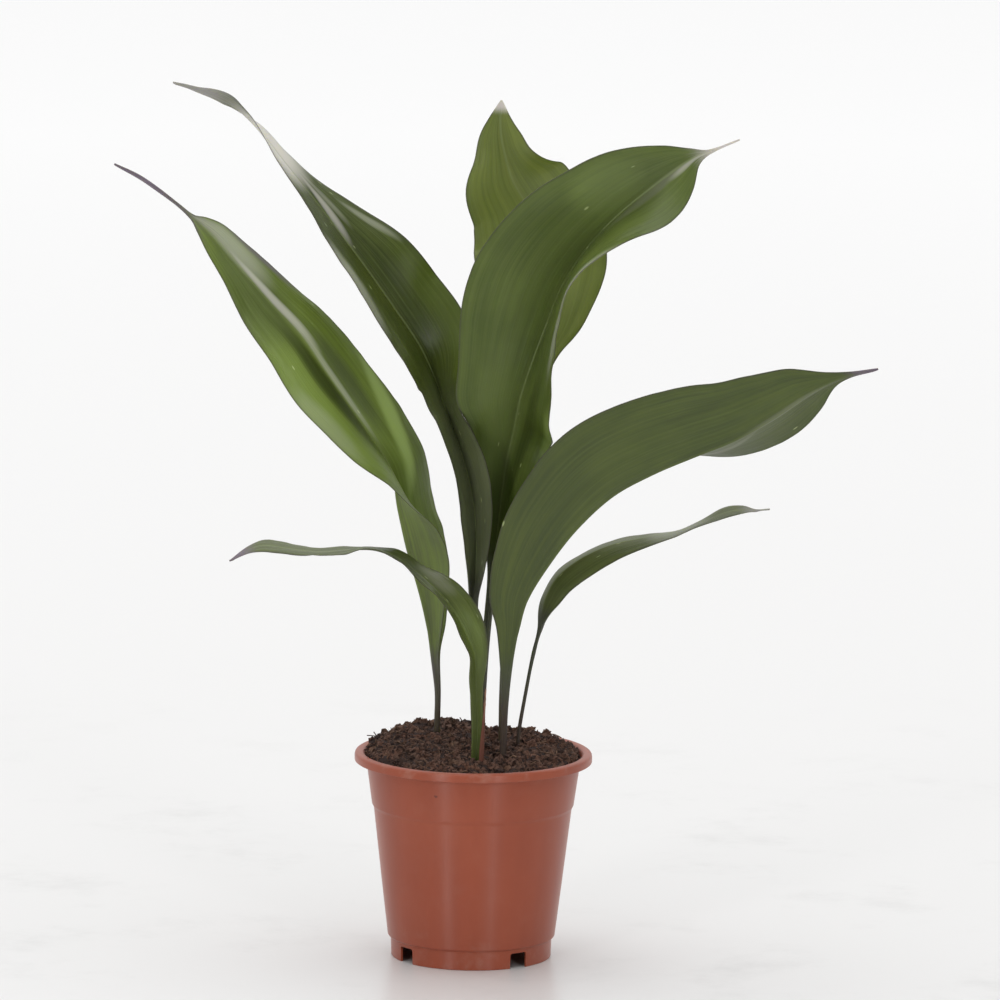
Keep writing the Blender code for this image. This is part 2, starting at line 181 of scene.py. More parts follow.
def relief(shader, height, depth, strength):
    """Fine surface relief of a given depth in metres."""
    inputs = {"Height": height, "Distance": depth, "Strength": strength}
    join(field(height.tree, "ShaderNodeBump", inputs), shader, "Normal")


def new_group(name, use, inputs, outputs):
    """An empty node group for a use, its inputs by name, and the node that sends its results out."""
    group = bpy.data.node_groups.new(name, use + "NodeTree")
    for direction, sockets in (("INPUT", inputs), ("OUTPUT", outputs)):
        for label, kind in sockets.items():
            group.interface.new_socket(label, in_out=direction, socket_type="NodeSocket" + kind)
    entry = group.nodes.new("NodeGroupInput").outputs
    return group, {socket.name: Field(group, socket) for socket in entry}, group.nodes.new("NodeGroupOutput")


def scuff_group():
    """Marks that handling leaves on plastic: a fine scratch mask and a soft dust mask."""
    inputs = {"Place": "Vector", "Scratch Size": "Float", "Dust Size": "Float"}
    outputs = {"Scratches": "Float", "Dust": "Float"}
    group, entry, leave = new_group("handling_marks", "Shader", inputs, outputs)
    place, size = entry["Place"], entry["Scratch Size"]
    leaning = field(group, "ShaderNodeVectorRotate", {"Vector": place, "Angle": 0.5})
    fine = grain(vector("MULTIPLY", leaning, (1.0, 1.0, 0.05)), size, 3.0)
    where = grain(place, size * 0.08)
    join(rise(fine, 0.66, 0.72) * rise(where, 0.5, 0.62), leave, "Scratches")
    join(rise(grain(place, entry["Dust Size"], 6.0, 0.65), 0.48, 0.75), leave, "Dust")
    return group


handling_marks = scuff_group()


def pot_plastic():
    """Satin plastic with faint flow lines down the wall, a little dust, a few scuffs and a speck of soil."""
    made, shader, place = finish("terracotta_plastic", 0.4, 0.48, anisotropic=0.9, anisotropic_rotation=0.25)
    height = height_of(place)
    flow = grain(vector("MULTIPLY", place, FLOW_STRETCH), 1.0, 3.0)
    cloud = grain(place, 22.0, 3.0)
    sizes = {"Place": place, "Scratch Size": SCRATCH_SIZE, "Dust Size": DUST_SIZE}
    marks = put(place.tree, "ShaderNodeGroup", sizes, node_tree=handling_marks).outputs
    scratches, dust = (Field(place.tree, output) for output in marks)
    colour = tint(rise(flow, 0.3, 0.75), TERRACOTTA_DEEP, TERRACOTTA)
    colour = tint(rise(cloud, 0.4, 0.8) * 0.3, colour, TERRACOTTA_PALE)
    dusty = rise(height, *FOOT_DUST_HEIGHT) * 0.12 + rise(height, *RIM_DUST_HEIGHT) * 0.2
    dusty = dust * (dusty + 0.02)
    colour = tint(dusty, colour, POT_DUST)
    colour = tint(scratches * 0.25, colour, TERRACOTTA_PALE)
    speck = vector("DISTANCE", place, SPECK_PLACE, 1) + grain(place, 900.0) * 0.0012
    join(tint(rise(speck, *SPECK_EDGE), colour, SPECK_BROWN), shader, "Base Color")
    join(calc("ADD", 0.38 + cloud * 0.05, dusty * 0.8, clamp=True), shader, "Roughness")
    relief(shader, flow * 0.6 + grain(place, 1500.0) * 0.12, 0.00012, 0.5)
    return made


def rounded(outline, radii):
    """An outline whose corners are turned to small arcs of the given radii."""
    result = [outline[0]]
    for before, corner, after, radius in zip(outline, outline[1:], outline[2:], radii):
        corner = Vector(corner)
        back, ahead = Vector(before) - corner, Vector(after) - corner
        turn = math.pi - back.angle(ahead)
        if radius <= 0.0 or turn < 0.05:
            result.append(tuple(corner))
            continue
        reach = min(radius * math.tan(turn / 2), back.length * 0.45, ahead.length * 0.45)
        start, end = corner + back.normalized() * reach, corner + ahead.normalized() * reach
        steps = max(2, round(turn / ARC_STEP))
        for k in range(steps + 1):
            t = k / steps
            result.append(tuple(start * (1 - t) ** 2 + corner * 2 * t * (1 - t) + end * t**2))
    result.append(outline[-1])
    return result


def closed_mesh(name, points, faces, smooth_angle=40.0):
    """A mesh from points in millimetres, its faces turned outwards."""
    mesh = bpy.data.meshes.new(name)
    shape = bmesh.new()
    corners = [shape.verts.new(Vector(p) * MM) for p in points]
    for face in faces:
        shape.faces.new([corners[i] for i in face])
    bmesh.ops.recalc_face_normals(shape, faces=shape.faces)
    shape.to_mesh(mesh)
    shape.free()
    mesh.shade_smooth()
    mesh.set_sharp_from_angle(angle=math.radians(smooth_angle))
    return mesh


def circle(radius, sides):
    """Points round a circle."""
    angles = [math.tau * s / sides for s in range(sides)]
    return [(radius * math.cos(angle), radius * math.sin(angle)) for angle in angles]


def stacked(rings, sides):
    """Faces of a stack of rings of points, with a single point closing each end."""
    last = 1 + rings * sides
    faces = []
    for s in range(sides):
        t = (s + 1) % sides
        faces.append((0, 1 + s, 1 + t))
        faces.append((last - sides + s, last - sides + t, last))
        for k in range(rings - 1):
            low, high = 1 + k * sides, 1 + (k + 1) * sides
            faces.append((low + s, low + t, high + t, high + s))
    return faces


def lathe(profile, sides):
    """Points and faces of a body turned about Z; the profile starts and ends on the axis."""
    points = [(0.0, 0.0, profile[0][1])]
    for radius, height in profile[1:-1]:
        points += [(x, y, height) for x, y in circle(radius, sides)]
    points.append((0.0, 0.0, profile[-1][1]))
    return points, stacked(len(profile) - 2, sides)


def show(name, mesh, material=None):
    """An object at the origin that carries a mesh, a light or a camera."""
    made = bpy.data.objects.new(name, mesh)
    bpy.context.scene.collection.objects.link(made)
    if material:
        mesh.materials.clear()
        mesh.materials.append(material)
    return made


def settle(piece):
    """Turns the piece's modifiers into plain mesh."""
    graph = bpy.context.evaluated_depsgraph_get()
    final = piece.evaluated_get(graph)
    mesh = bpy.data.meshes.new_from_object(final, preserve_all_data_layers=True, depsgraph=graph)
    piece.modifiers.clear()
    piece.data = mesh
    return piece


def pot_profile():
    """Half section of the pot, from the middle of its underside round to the middle of its floor."""
    top, under = pot_height, pot_height - RIM_DEPTH
    foot = FOOT_RADIUS
    outline = [
        (0.0, 0.0), (DISH_RADIUS, 0.0), (DISH_RADIUS + 1.8, POT_FLOOR),
        (foot - POT_WALL - 0.2, POT_FLOOR), (foot - POT_WALL - 0.4, 0.0), (foot - 0.4, 0.0),
        (foot, SKIRT_HEIGHT), (49.3, 12.5), (53.2, 44.7), (58.4, 89.0), (59.5, 91.0),
        (62.6, under - 4.0), (62.9, under - 1.2), (64.3, under - 1.0), (65.0, under),
        (rim_radius, under - 0.2), (rim_radius, top), (RIM_INNER, top), (63.3, under), (61.4, under - 4.0),
        (58.3, 91.3), (57.1, 89.3), (51.9, 45.0), (48.0, 13.0),
        (foot - POT_WALL, POT_FLOOR + POT_WALL), (DISH_RADIUS + 0.5, POT_FLOOR + POT_WALL),
        (DISH_RADIUS - 1.5, POT_WALL), (0.0, POT_WALL),
    ]
    radii = [0.8, 0.8, 0.3, 0.3, 0.5, 0.5, 0.8, 4.0, 4.0, 0.8, 0.8, 0.5, 0.4, 0.4, 0.5, 2.2]
    radii += [2.3, 1.6, 1.0, 0.6, 0.8, 0.8, 4.0, 4.0, 0.8, 0.8, 0.8, 0.5]
    return rounded(outline, radii)


def opening(name, points, faces, degrees, distance):
    """A cutter set round the foot, a number of degrees from the front."""
    made = show(name, closed_mesh(name, points, faces))
    angle = math.radians(degrees)
    made.location = Vector((math.sin(angle), -math.cos(angle), 0.0)) * distance * MM
    made.rotation_euler[2] = angle
    return made


def notch_block():
    """A block with two rounded upper corners that reaches through the skirt from below."""
    half, high = NOTCH_SIZE[0] / 2, NOTCH_SIZE[1]
    cut, soft = NOTCH_CORNER, NOTCH_CHAMFER
    arch = [(-half, -2.0), (half, -2.0), (half, high - cut), (half - soft, high - soft), (half - cut, high)]
    arch += [(cut - half, high), (soft - half, high - soft), (-half, high - cut)]
    count = len(arch)
    sides = [(k, (k + 1) % count, count + (k + 1) % count, count + k) for k in range(count)]
    sides += [tuple(range(count)), tuple(range(count, 2 * count))]
    return [(x, y, z) for y in (-4.0, 4.0) for x, z in arch], sides


def make_pot():
    """The turned shell with its notches and drain holes cut out."""
    points, faces = lathe(pot_profile(), POT_SIDES)
    pot = show("nursery_pot_shell", closed_mesh("nursery_pot_shell", points, faces, POT_SHARP_ANGLE))
    drain = lathe(((0.0, 6.0), (DRAIN_RADIUS, 6.0), (DRAIN_RADIUS, 15.0), (0.0, 15.0)), DRAIN_SIDES)
    cutters = []
    for degrees in NOTCH_ANGLES:
        cutters.append(opening("notch", *notch_block(), degrees, FOOT_RADIUS))
        cutters.append(opening("drain", *drain, degrees, DRAIN_CIRCLE))
    for cutter in cutters:
        step = pot.modifiers.new("opening", "BOOLEAN")
        step.operation = "DIFFERENCE"
        step.solver = "EXACT"
        step.object = cutter
    settle(pot)
    for cutter in cutters:
        bpy.data.objects.remove(cutter, do_unlink=True)
    pot.data.shade_smooth()
    pot.data.set_sharp_from_angle(angle=math.radians(POT_SHARP_ANGLE))
    pot.data.materials.clear()
    pot.data.materials.append(pot_plastic())
    return pot


pot = make_pot()
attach(pot, "root")
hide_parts("nursery_pot")

# --- Potting soil ------------------------------------------------------------
# A root ball of moist brown peat, pressed into the pot by hand and heaped up round the stalks.
# Its top is a crust of clods, crumbs, fibres and bark slivers.

SOIL_RADIUS = 63.4
SOIL_SIDES = 200
SOIL_RINGS = 84
SOIL_BASE = 118.0
SOIL_BOTTOM = 108.0
HEAP_CROWN = 8.0
HEAP_SLOPE = (-0.03, 0.08)
HEAP_DIP = (14.0, 13.0, 4.5)
HEAP_SHOULDER = (12.0, 0.05)
HEAP_SKIRT = ((3.5, SOIL_BOTTOM), (1.2, SOIL_BASE - 3.0))
RING_CROWDING = 1.25
LOOSE_EDGE = 4.0
CLOD_RELIEF = 0.0042
CRUST_RELIEF = 0.0016
SWELL_RELIEF = 0.005
PEAT = (0.125, 0.074, 0.055)
PEAT_RED = (0.150, 0.076, 0.052)
PEAT_DARK = (0.040, 0.025, 0.022)
PEAT_FIBRE = (0.20, 0.120, 0.072)


def heap_height(x, y):
    """Top of the heap: highest at the back, steep on the left, with a dip right of the middle."""
    radius = min(math.hypot(x, y) / SOIL_RADIUS, 1.0)
    middle, spread, depth = HEAP_DIP
    crown = HEAP_CROWN + HEAP_SLOPE[0] * x + HEAP_SLOPE[1] * y
    crown -= depth * math.exp(-(((x - middle) / spread) ** 2))
    shoulder = HEAP_SHOULDER[0] - HEAP_SHOULDER[1] * x
    return SOIL_BASE + crown * (1 - radius**shoulder)


def heap_mesh():
    """The heap's top with a short skirt inside the wall, a flat underside, and how loose each point lies."""
    points = [(0.0, 0.0, SOIL_BOTTOM)]
    for inset, height in HEAP_SKIRT:
        points += [(x, y, height) for x, y in circle(SOIL_RADIUS - inset, SOIL_SIDES)]
    for k in range(SOIL_RINGS):
        ring = circle(SOIL_RADIUS * (1 - (k / SOIL_RINGS) ** RING_CROWDING), SOIL_SIDES)
        points += [(x, y, heap_height(x, y)) for x, y in ring]
    points.append((0.0, 0.0, heap_height(0.0, 0.0)))
    mesh = closed_mesh("peat_heap", points, stacked(SOIL_RINGS + len(HEAP_SKIRT), SOIL_SIDES), 80.0)
    loose = mesh.attributes.new("loose", "FLOAT", "POINT")
    for k, (x, y, z) in enumerate(points):
        edge = (SOIL_RADIUS - math.hypot(x, y)) / LOOSE_EDGE
        loose.data[k].value = min(max(edge, 0.0), 1.0) if z >= SOIL_BASE - 0.5 else 0.0
    return mesh


def shape_tree(name, *numbers, **others):
    """An empty Geometry Nodes tree with a geometry in and out and named inputs, most of them numbers."""
    inputs = {"Geometry": "Geometry", **dict.fromkeys(numbers, "Float"), **others}
    return new_group(name, "Geometry", inputs, {"Geometry": "Geometry"})


def close_tree(tree, leave, geometry, offset, material):
    """Moves the points by an offset, realizes the instances, sets the material and sends it all out."""
    if offset:
        geometry = field(tree, "GeometryNodeSetPosition", {0: geometry, "Offset": offset})
    real = field(tree, "GeometryNodeRealizeInstances", {0: geometry})
    join(field(tree, "GeometryNodeSetMaterial", {0: real, "Material": material}), leave, 0)
    return tree


def grow(name, guide, tree, **inputs):
    """Runs a tree on a guide mesh and keeps the result as the plain mesh of a new piece."""
    piece = show(name, guide)
    step = piece.modifiers.new("grow", "NODES")
    step.node_group = tree
    for socket in tree.interface.items_tree:
        key = socket.name.lower().replace(" ", "_")
        if socket.in_out == "INPUT" and key in inputs:
            step[socket.identifier] = inputs[key]
    return settle(piece)


def read(tree, name, kind="FLOAT"):
    """A named attribute in a Geometry Nodes tree."""
    return field(tree, "GeometryNodeInputNamedAttribute", {"Name": name}, data_type=kind)


def spot(tree, x=0.0, y=0.0, z=0.0):
    """A place or direction from its three parts."""
    return field(tree, "ShaderNodeCombineXYZ", {0: x, 1: y, 2: z})


def between(tree, low, high):
    """A random direction or shape for each copy, part by part between two limits."""
    return field(tree, "FunctionNodeRandomValue", {0: low, 1: high}, data_type="FLOAT_VECTOR")


def sized(tree, entry, smallest, largest):
    """A random size for each copy, between two of the tree's inputs."""
    limits = {2: entry[smallest], 3: entry[largest], "Seed": entry["Seed"]}
    return field(tree, "FunctionNodeRandomValue", limits, 1)


def crust_tree():
    """Presses clods and hollows into the heap."""
    tree, entry, leave = shape_tree("peat_crust", "Clod Relief", "Crust Relief", Peat="Material")
    place = field(tree, "GeometryNodeInputPosition")
    warp = field(tree, "ShaderNodeTexNoise", {"Vector": place, "Scale": 130.0, "Detail": 2.0}, 1)
    moved = vector("ADD", place, vector("SCALE", warp, 0.006))
    clods = field(tree, "ShaderNodeTexVoronoi", {"Vector": moved, "Scale": 115.0}, feature="SMOOTH_F1")
    lift = (0.55 - clods) * entry["Clod Relief"]
    lift = lift + (grain(place, 420.0, 4.0) - 0.5) * entry["Crust Relief"]
    lift = lift + (grain(place, 55.0, 2.0) - 0.5) * SWELL_RELIEF
    offset = vector("SCALE", field(tree, "GeometryNodeInputNormal"), lift * read(tree, "loose"))
    return close_tree(tree, leave, entry["Geometry"], offset, entry["Peat"])


def scattered(tree, entry, edge, single, turn, scale, seed):
    """Copies of one shape on the loose soil, each with a shade of its own from 0 to 1."""
    loose = calc("GREATER_THAN", read(tree, "loose"), edge)
    inputs = {"Mesh": entry["Geometry"], "Selection": loose, "Density": entry["Density"]}
    inputs["Seed"] = entry["Seed"]
    spots = field(tree, "GeometryNodeDistributePointsOnFaces", inputs)
    inputs = {"Points": spots, "Instance": single, "Rotation": turn, "Scale": scale}
    copies = field(tree, "GeometryNodeInstanceOnPoints", inputs)
    shade = field(tree, "FunctionNodeRandomValue", {"Seed": seed}, 1)
    inputs = {"Geometry": copies, "Name": "shade", "Value": shade}
    return field(tree, "GeometryNodeStoreNamedAttribute", inputs, domain="INSTANCE")


def crumb_tree():
    """Scatters crumbs over the loose top: lumpy pebbles of peat, each turned, stretched and tinted apart."""
    numbers = ("Density", "Smallest", "Largest", "Sink", "Edge")
    tree, entry, leave = shape_tree("peat_crumbs", *numbers, Detail="Int", Seed="Int", Peat="Material")
    pebble = field(tree, "GeometryNodeMeshIcoSphere", {"Radius": 0.5, "Subdivisions": entry["Detail"]})
    size = sized(tree, entry, "Smallest", "Largest")
    scale = vector("SCALE", between(tree, (0.6, 0.6, 0.4), (1.3, 1.0, 0.85)), size)
    turn = between(tree, (0.0, 0.0, 0.0), (6.2, 6.2, 6.2))
    crumbs = scattered(tree, entry, entry["Edge"], pebble, turn, scale, 5)
    crumbs = field(tree, "GeometryNodeRealizeInstances", {0: crumbs})
    place = field(tree, "GeometryNodeInputPosition")
    lumps = field(tree, "ShaderNodeTexNoise", {"Vector": place, "Scale": 520.0, "Detail": 1.0}, 1)
    lumps = vector("SCALE", vector("SUBTRACT", lumps, (0.5, 0.5, 0.5)), entry["Largest"] * 0.9)
    offset = vector("ADD", lumps, spot(tree, z=entry["Sink"] * -1.0))
    return close_tree(tree, leave, crumbs, offset, entry["Peat"])


def fibre_tree():
    """Lays fibres on the peat: thin bent threads that lie nearly flat, a few of them standing up."""
    numbers = ("Density", "Shortest", "Longest", "Thickness", "Lift")
    tree, entry, leave = shape_tree("peat_fibres", *numbers, Seed="Int", Fibre="Material")
    bend = {"Start": (-0.5, 0.0, 0.0), "Middle": (0.05, 0.22, 0.16), "End": (0.5, -0.05, 0.05)}
    bend["Resolution"] = 6
    thread = field(tree, "GeometryNodeCurveQuadraticBezier", bend)
    ring = field(tree, "GeometryNodeCurvePrimitiveCircle", {"Resolution": 4, "Radius": entry["Thickness"]})
    inputs = {"Curve": thread, "Profile Curve": ring, "Fill Caps": True}
    thread = field(tree, "GeometryNodeCurveToMesh", inputs)
    low = spot(tree, -3.1, entry["Lift"] * -1.0, -3.1)
    turn = between(tree, low, spot(tree, 3.1, entry["Lift"], 3.1))
    size = sized(tree, entry, "Shortest", "Longest")
    threads = scattered(tree, entry, 0.3, thread, turn, size, 9)
    return close_tree(tree, leave, threads, None, entry["Fibre"])


def carried(place, name):
    """A number that the mesh carries, in the material that a place belongs to."""
    settings = {"attribute_name": name, "attribute_type": "GEOMETRY"}
    return field(place.tree, "ShaderNodeAttribute", output="Fac", **settings)


def peat_finish():
    """Crumbly matt peat: brown with reddish and dark patches, each crumb a shade of its own."""
    made, shader, place = finish("peat", 0.93, 0.25)
    shade = carried(place, "shade")
    cloud = grain(place, 70.0, 3.0)
    colour = tint(rise(cloud, 0.35, 0.7), PEAT, PEAT_RED)
    colour = tint(rise(grain(place, 330.0, 4.0), 0.52, 0.34), colour, PEAT_DARK)
    colour = tint(rise(shade, 0.25, 0.0), colour, PEAT_DARK)
    join(tint(rise(shade, 0.8, 1.0) * 0.3, colour, PEAT_FIBRE), shader, "Base Color")
    join(calc("ADD", 0.85, cloud * 0.15, clamp=True), shader, "Roughness")
    relief(shader, grain(place, 1400.0, 4.0, 0.7), 0.0007, 0.8)
    return made


def fibre_finish():
    """Dry root and bark threads, from tan to dark brown."""
    made, shader, place = finish("peat_fibre", 0.8, 0.3)
    colour = tint(rise(carried(place, "shade"), 0.15, 0.95), PEAT_DARK, PEAT_FIBRE)
    join(tint(grain(place, 500.0) * 0.5, colour, PEAT_RED), shader, "Base Color")
    relief(shader, grain(place, 2600.0, 2.0), 0.0002, 0.5)
    return made


peat = peat_finish()
peat_fibre = fibre_finish()
crumbs = crumb_tree()
fibres = fibre_tree()
crust = crust_tree()
heap = grow("peat_heap", heap_mesh(), crust, clod_relief=CLOD_RELIEF, crust_relief=CRUST_RELIEF, peat=peat)
crumb_labels = ("density", "smallest", "largest", "detail", "sink", "edge", "seed")
crumb_sizes = {
    "peat_clods": (17000.0, 0.0042, 0.0082, 3, 0.0009, 0.98, 11),
    "peat_crumbs": (95000.0, 0.0018, 0.0042, 2, 0.0002, 0.45, 23),
    "peat_grit": (230000.0, 0.0007, 0.0019, 1, 0.0, 0.02, 37),
}
soil_pieces = [heap]
for name, values in crumb_sizes.items():
    values = dict(zip(crumb_labels, values))
    soil_pieces.append(grow(name, heap.data.copy(), crumbs, peat=peat, **values))
thread_labels = ("density", "shortest", "longest", "thickness", "lift", "seed")
thread_sizes = {
    "peat_fibres": (20000.0, 0.004, 0.013, 0.028, 0.45, 41),
    "bark_slivers": (9000.0, 0.003, 0.007, 0.085, 0.8, 53),
}
for name, values in thread_sizes.items():
    values = dict(zip(thread_labels, values))
    soil_pieces.append(grow(name, heap.data.copy(), fibres, fibre=peat_fibre, **values))
for piece in soil_pieces:
    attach(piece, "root")
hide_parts("potting_soil")

# --- Rhizomes ----------------------------------------------------------------
# The knobbly stems that creep through the peat and carry every leaf. Their skin is pale brown and rough,
# with a darker ring at each node. They are the bodies of the frame with a skin of their own.

RHIZOME_SKIN = (0.30, 0.20, 0.11)
RHIZOME_RING = (0.12, 0.07, 0.04)


def rhizome_finish():
    """Rough bark-like skin, ringed across and stained by the peat."""
    made, shader, place = finish("rhizome_skin", 0.82, 0.3)
    rings = grain(vector("MULTIPLY", place, (260.0, 260.0, 40.0)), 1.0, 2.0)
    colour = tint(rise(rings, 0.55, 0.42), RHIZOME_SKIN, RHIZOME_RING)
    join(tint(rise(grain(place, 120.0, 4.0), 0.45, 0.7), colour, PEAT), shader, "Base Color")
    relief(shader, grain(place, 700.0, 4.0), 0.0004, 0.7)
    return made


rhizome_skin = rhizome_finish()
for name in ("rhizome_front", "rhizome_back"):
    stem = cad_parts[name]
    stem.data.materials.clear()
    stem.data.materials.append(rhizome_skin)

# --- Leaves ------------------------------------------------------------------
# Each leaf is one strap of tough, glossy tissue on a wiry stalk that comes straight up from a rhizome.
# The stalk opens into a folded channel, the channel flattens into a blade with fine veins from end to end,
# and the blade runs out to a thin dry tip. Each leaf leans, folds and rolls over in its own way.

COLUMNS = 88
COLUMN_CROWDING = 1.08
ROW_STEP = 2.0
THINNEST_HALF = 0.25
ROOT_HEIGHT = 118.075
BURIED_HEIGHT = 121.0
STALK_HALF_WIDTH = 3.0
BLADE_HALF_WIDTH = 12.0
STALK_DEPTH = 2.5
STALK_EDGE = 1.1
MIDRIB_DEPTH = 1.15
MIDRIB_REACH = 1.6
BLADE_DEPTH = 0.42
CREASE_RADIUS = 0.5
RIBS = 9.0
RIB_HEIGHT = 0.00002
VEINS = 34.0
MIDRIB_EDGE = (0.0012, 0.0002)
HEM_EDGE = (0.0013, 0.0001)
STALK_FOOT_HEIGHT = (0.185, 0.145)
LEAF_MARKS = ("across", "along", "reach", "blade", "tip", "under")
STALK_GREEN = (0.060, 0.063, 0.046)
STALK_GREY = (0.088, 0.074, 0.080)
STALK_PURPLE = (0.060, 0.032, 0.036)
YOUNG_STALK = (0.090, 0.115, 0.032)
MIDRIB_GREEN = (0.20, 0.25, 0.09)
MARGIN_DARK = (0.040, 0.032, 0.030)
VEIN_PALE = (0.17, 0.21, 0.08)
SPECK_PALE = (0.55, 0.62, 0.30)
DRY_WHITE = (0.62, 0.58, 0.53)
DRY_PURPLE = (0.16, 0.13, 0.16)
DRY_GREY = (0.30, 0.29, 0.27)
# Patch colours for the leaves, most of them painted light and shade: glare, sheen, and lit and shaded greens.
PAINTED_GLARE = (0.70, 0.67, 0.62)
PAINTED_SHEEN = (0.44, 0.45, 0.36)
GREY_GREEN = (0.18, 0.19, 0.13)
PAINTED_LIT_GREEN = (0.30, 0.39, 0.115)
BRIGHT_GREEN = (0.19, 0.26, 0.052)
PAINTED_FILL_GREEN = (0.13, 0.165, 0.05)
DULL_GREEN = (0.060, 0.074, 0.032)
BRIGHT_OLIVE = (0.085, 0.118, 0.010)
DEEP_SHADE = (0.024, 0.032, 0.006)


def smoothed(rows, count):
    """Rows of numbers smoothed into count rows, evenly spaced along their first three columns."""
    steps = [0.0]
    for before, after in zip(rows, rows[1:]):
        steps.append(steps[-1] + math.dist(before[:3], after[:3]))
    slopes = []
    for k in range(len(rows)):
        low, high = max(k - 1, 0), min(k + 1, len(rows) - 1)
        span = steps[high] - steps[low]
        slopes.append([(b - a) / span for a, b in zip(rows[low], rows[high])])
    result = []
    piece = 0
    for n in range(count):
        place = steps[-1] * n / (count - 1)
        while piece < len(rows) - 2 and place > steps[piece + 1]:
            piece += 1
        span = steps[piece + 1] - steps[piece]
        t = (place - steps[piece]) / span
        start, end = 2 * t**3 - 3 * t**2 + 1, 3 * t**2 - 2 * t**3
        lead, trail = (t**3 - 2 * t**2 + t) * span, (t**3 - t**2) * span
        row = []
        for column in range(len(rows[0])):
            value = start * rows[piece][column] + end * rows[piece + 1][column]
            value += lead * slopes[piece][column] + trail * slopes[piece + 1][column]
            row.append(value)
        result.append(row)
    return result


def half_arc(share, fold, bow):
    """How far a half's section has got, sideways and upwards, and its slope there; bow arches the half."""
    if abs(bow) < 0.01:
        return share * math.cos(fold), share * math.sin(fold), fold
    scale = bow / math.sin(bow) / (2 * bow)
    slope = fold + bow - 2 * bow * share
    sideways = (math.sin(fold + bow) - math.sin(slope)) * scale
    upwards = (math.cos(slope) - math.cos(fold + bow)) * scale
    return sideways, upwards, slope


def leaf_mesh(name, stations, bow, margins):
    """The leaf as a closed body with attributes that say where each point lies on it."""
    x, y, _, half, roll, fold = stations[0]
    roots = ((x, y, ROOT_HEIGHT, half, roll, fold), (x, y, BURIED_HEIGHT, half, roll, fold))
    stations = roots + tuple(stations)
    length = sum(math.dist(a[:3], b[:3]) for a, b in zip(stations, stations[1:]))
    rows = smoothed(stations, round(length / ROW_STEP))
    step = length / (len(rows) - 1)
    widest = max(range(len(rows)), key=lambda k: rows[k][3])
    forward = Vector((0, -1, 0))
    corners = []
    across = [2 * k / COLUMNS - 1 for k in range(COLUMNS + 1)]
    across = [math.copysign(abs(u) ** COLUMN_CROWDING, u) for u in across]
    for k, row in enumerate(rows):
        ahead = Vector(rows[min(k + 2, len(rows) - 1)][:3]) - Vector(rows[max(k - 2, 0)][:3])
        tangent = ahead.normalized() if k > 1 else Vector((0, 0, 1))
        centre, half = Vector(row[:3]), max(row[3], THINNEST_HALF)
        roll, fold = math.radians(row[4]), math.radians(row[5])
        normal0 = (forward - tangent * forward.dot(tangent)).normalized()
        side0 = tangent.cross(normal0)
        side = side0 * math.cos(roll) + normal0 * math.sin(roll)
        normal = normal0 * math.cos(roll) - side0 * math.sin(roll)
        share = min(max((half - STALK_HALF_WIDTH) / (BLADE_HALF_WIDTH - STALK_HALF_WIDTH), 0.0), 1.0)
        blade = share if k < widest else 1.0
        middle = STALK_DEPTH + (MIDRIB_DEPTH - STALK_DEPTH) * blade
        edge = STALK_EDGE + (BLADE_DEPTH - STALK_EDGE) * blade
        middle, edge = min(middle, 1.3 * half), min(edge, 0.8 * half)
        arch = math.radians(bow) * share
        place = k * step
        upper, lower = [], []
        for u in across:
            hand = -1 if u < 0 else 1
            reach = half
            for start, margin_hand, change, spread in margins:
                if margin_hand == hand:
                    reach += change * math.exp(-(((place - start) / spread) ** 2))
            sideways, upwards, slope = half_arc(abs(u), fold, arch)
            soft = min(CREASE_RADIUS / half, 0.3)
            upwards *= (math.hypot(abs(u), soft) - soft) / max(abs(u), 1e-6)
            point = centre + (side * (hand * sideways) + normal * upwards) * reach
            slope *= min(abs(u) / (2 * soft), 1.0)
            face = normal * math.cos(slope) - side * (hand * math.sin(slope))
            depth = edge + (middle - edge) * math.exp(-((u * half / MIDRIB_REACH) ** 2))
            marks = (u, place * MM, half * MM, blade, (length - place) * MM)
            upper.append((point, face, (*marks, 0.0)))
            lower.append((point - face * depth, face, (*marks, 1.0)))
        corners += upper + lower[::-1]
    points, facing, marks = zip(*corners)
    ring = 2 * len(across)
    faces = [tuple(range(ring)), tuple(range(len(points) - ring, len(points)))]
    for k in range(len(rows) - 1):
        for s in range(ring):
            t = (s + 1) % ring
            faces.append((k * ring + s, k * ring + t, (k + 1) * ring + t, (k + 1) * ring + s))
    mesh = closed_mesh(name, points, faces, 75.0)
    for label, values in zip(LEAF_MARKS, zip(*marks)):
        mesh.attributes.new(label, "FLOAT", "POINT").data.foreach_set("value", values)
    layer = mesh.attributes.new("facing", "FLOAT_VECTOR", "POINT")
    layer.data.foreach_set("vector", [value for face in facing for value in face])
    return mesh


def blade_tree():
    """Raises the veins from end to end of a blade and lets its margins ripple."""
    numbers = ("Ribs", "Rib Height", "Ripple", "Ripple Length", "Seed")
    tree, entry, leave = shape_tree("leaf_blade", *numbers, Skin="Material")
    across, along, blade = (read(tree, label) for label in ("across", "along", "blade"))
    wander = grain(spot(tree, along * 9.0, entry["Seed"]), 1.0) * 0.12
    wave = calc("COSINE", (across + wander) * entry["Ribs"] * math.tau)
    wave = wave * (1.0 - abs(across) ** 6.0) * (blade * entry["Rib Height"])
    sheet = 1.0 - read(tree, "under") * 2.0
    place = spot(tree, along / entry["Ripple Length"], across * 1.6, entry["Seed"])
    ripple = (grain(place, 1.0) - 0.5) * abs(across) ** 1.6 * (blade * entry["Ripple"])
    ripple = ripple * calc("DIVIDE", read(tree, "reach"), 0.02, clamp=True)
    raised = vector("SCALE", field(tree, "GeometryNodeInputNormal"), wave * sheet)
    offset = vector("ADD", raised, vector("SCALE", read(tree, "facing", "FLOAT_VECTOR"), ripple))
    return close_tree(tree, leave, entry["Geometry"], offset, entry["Skin"])


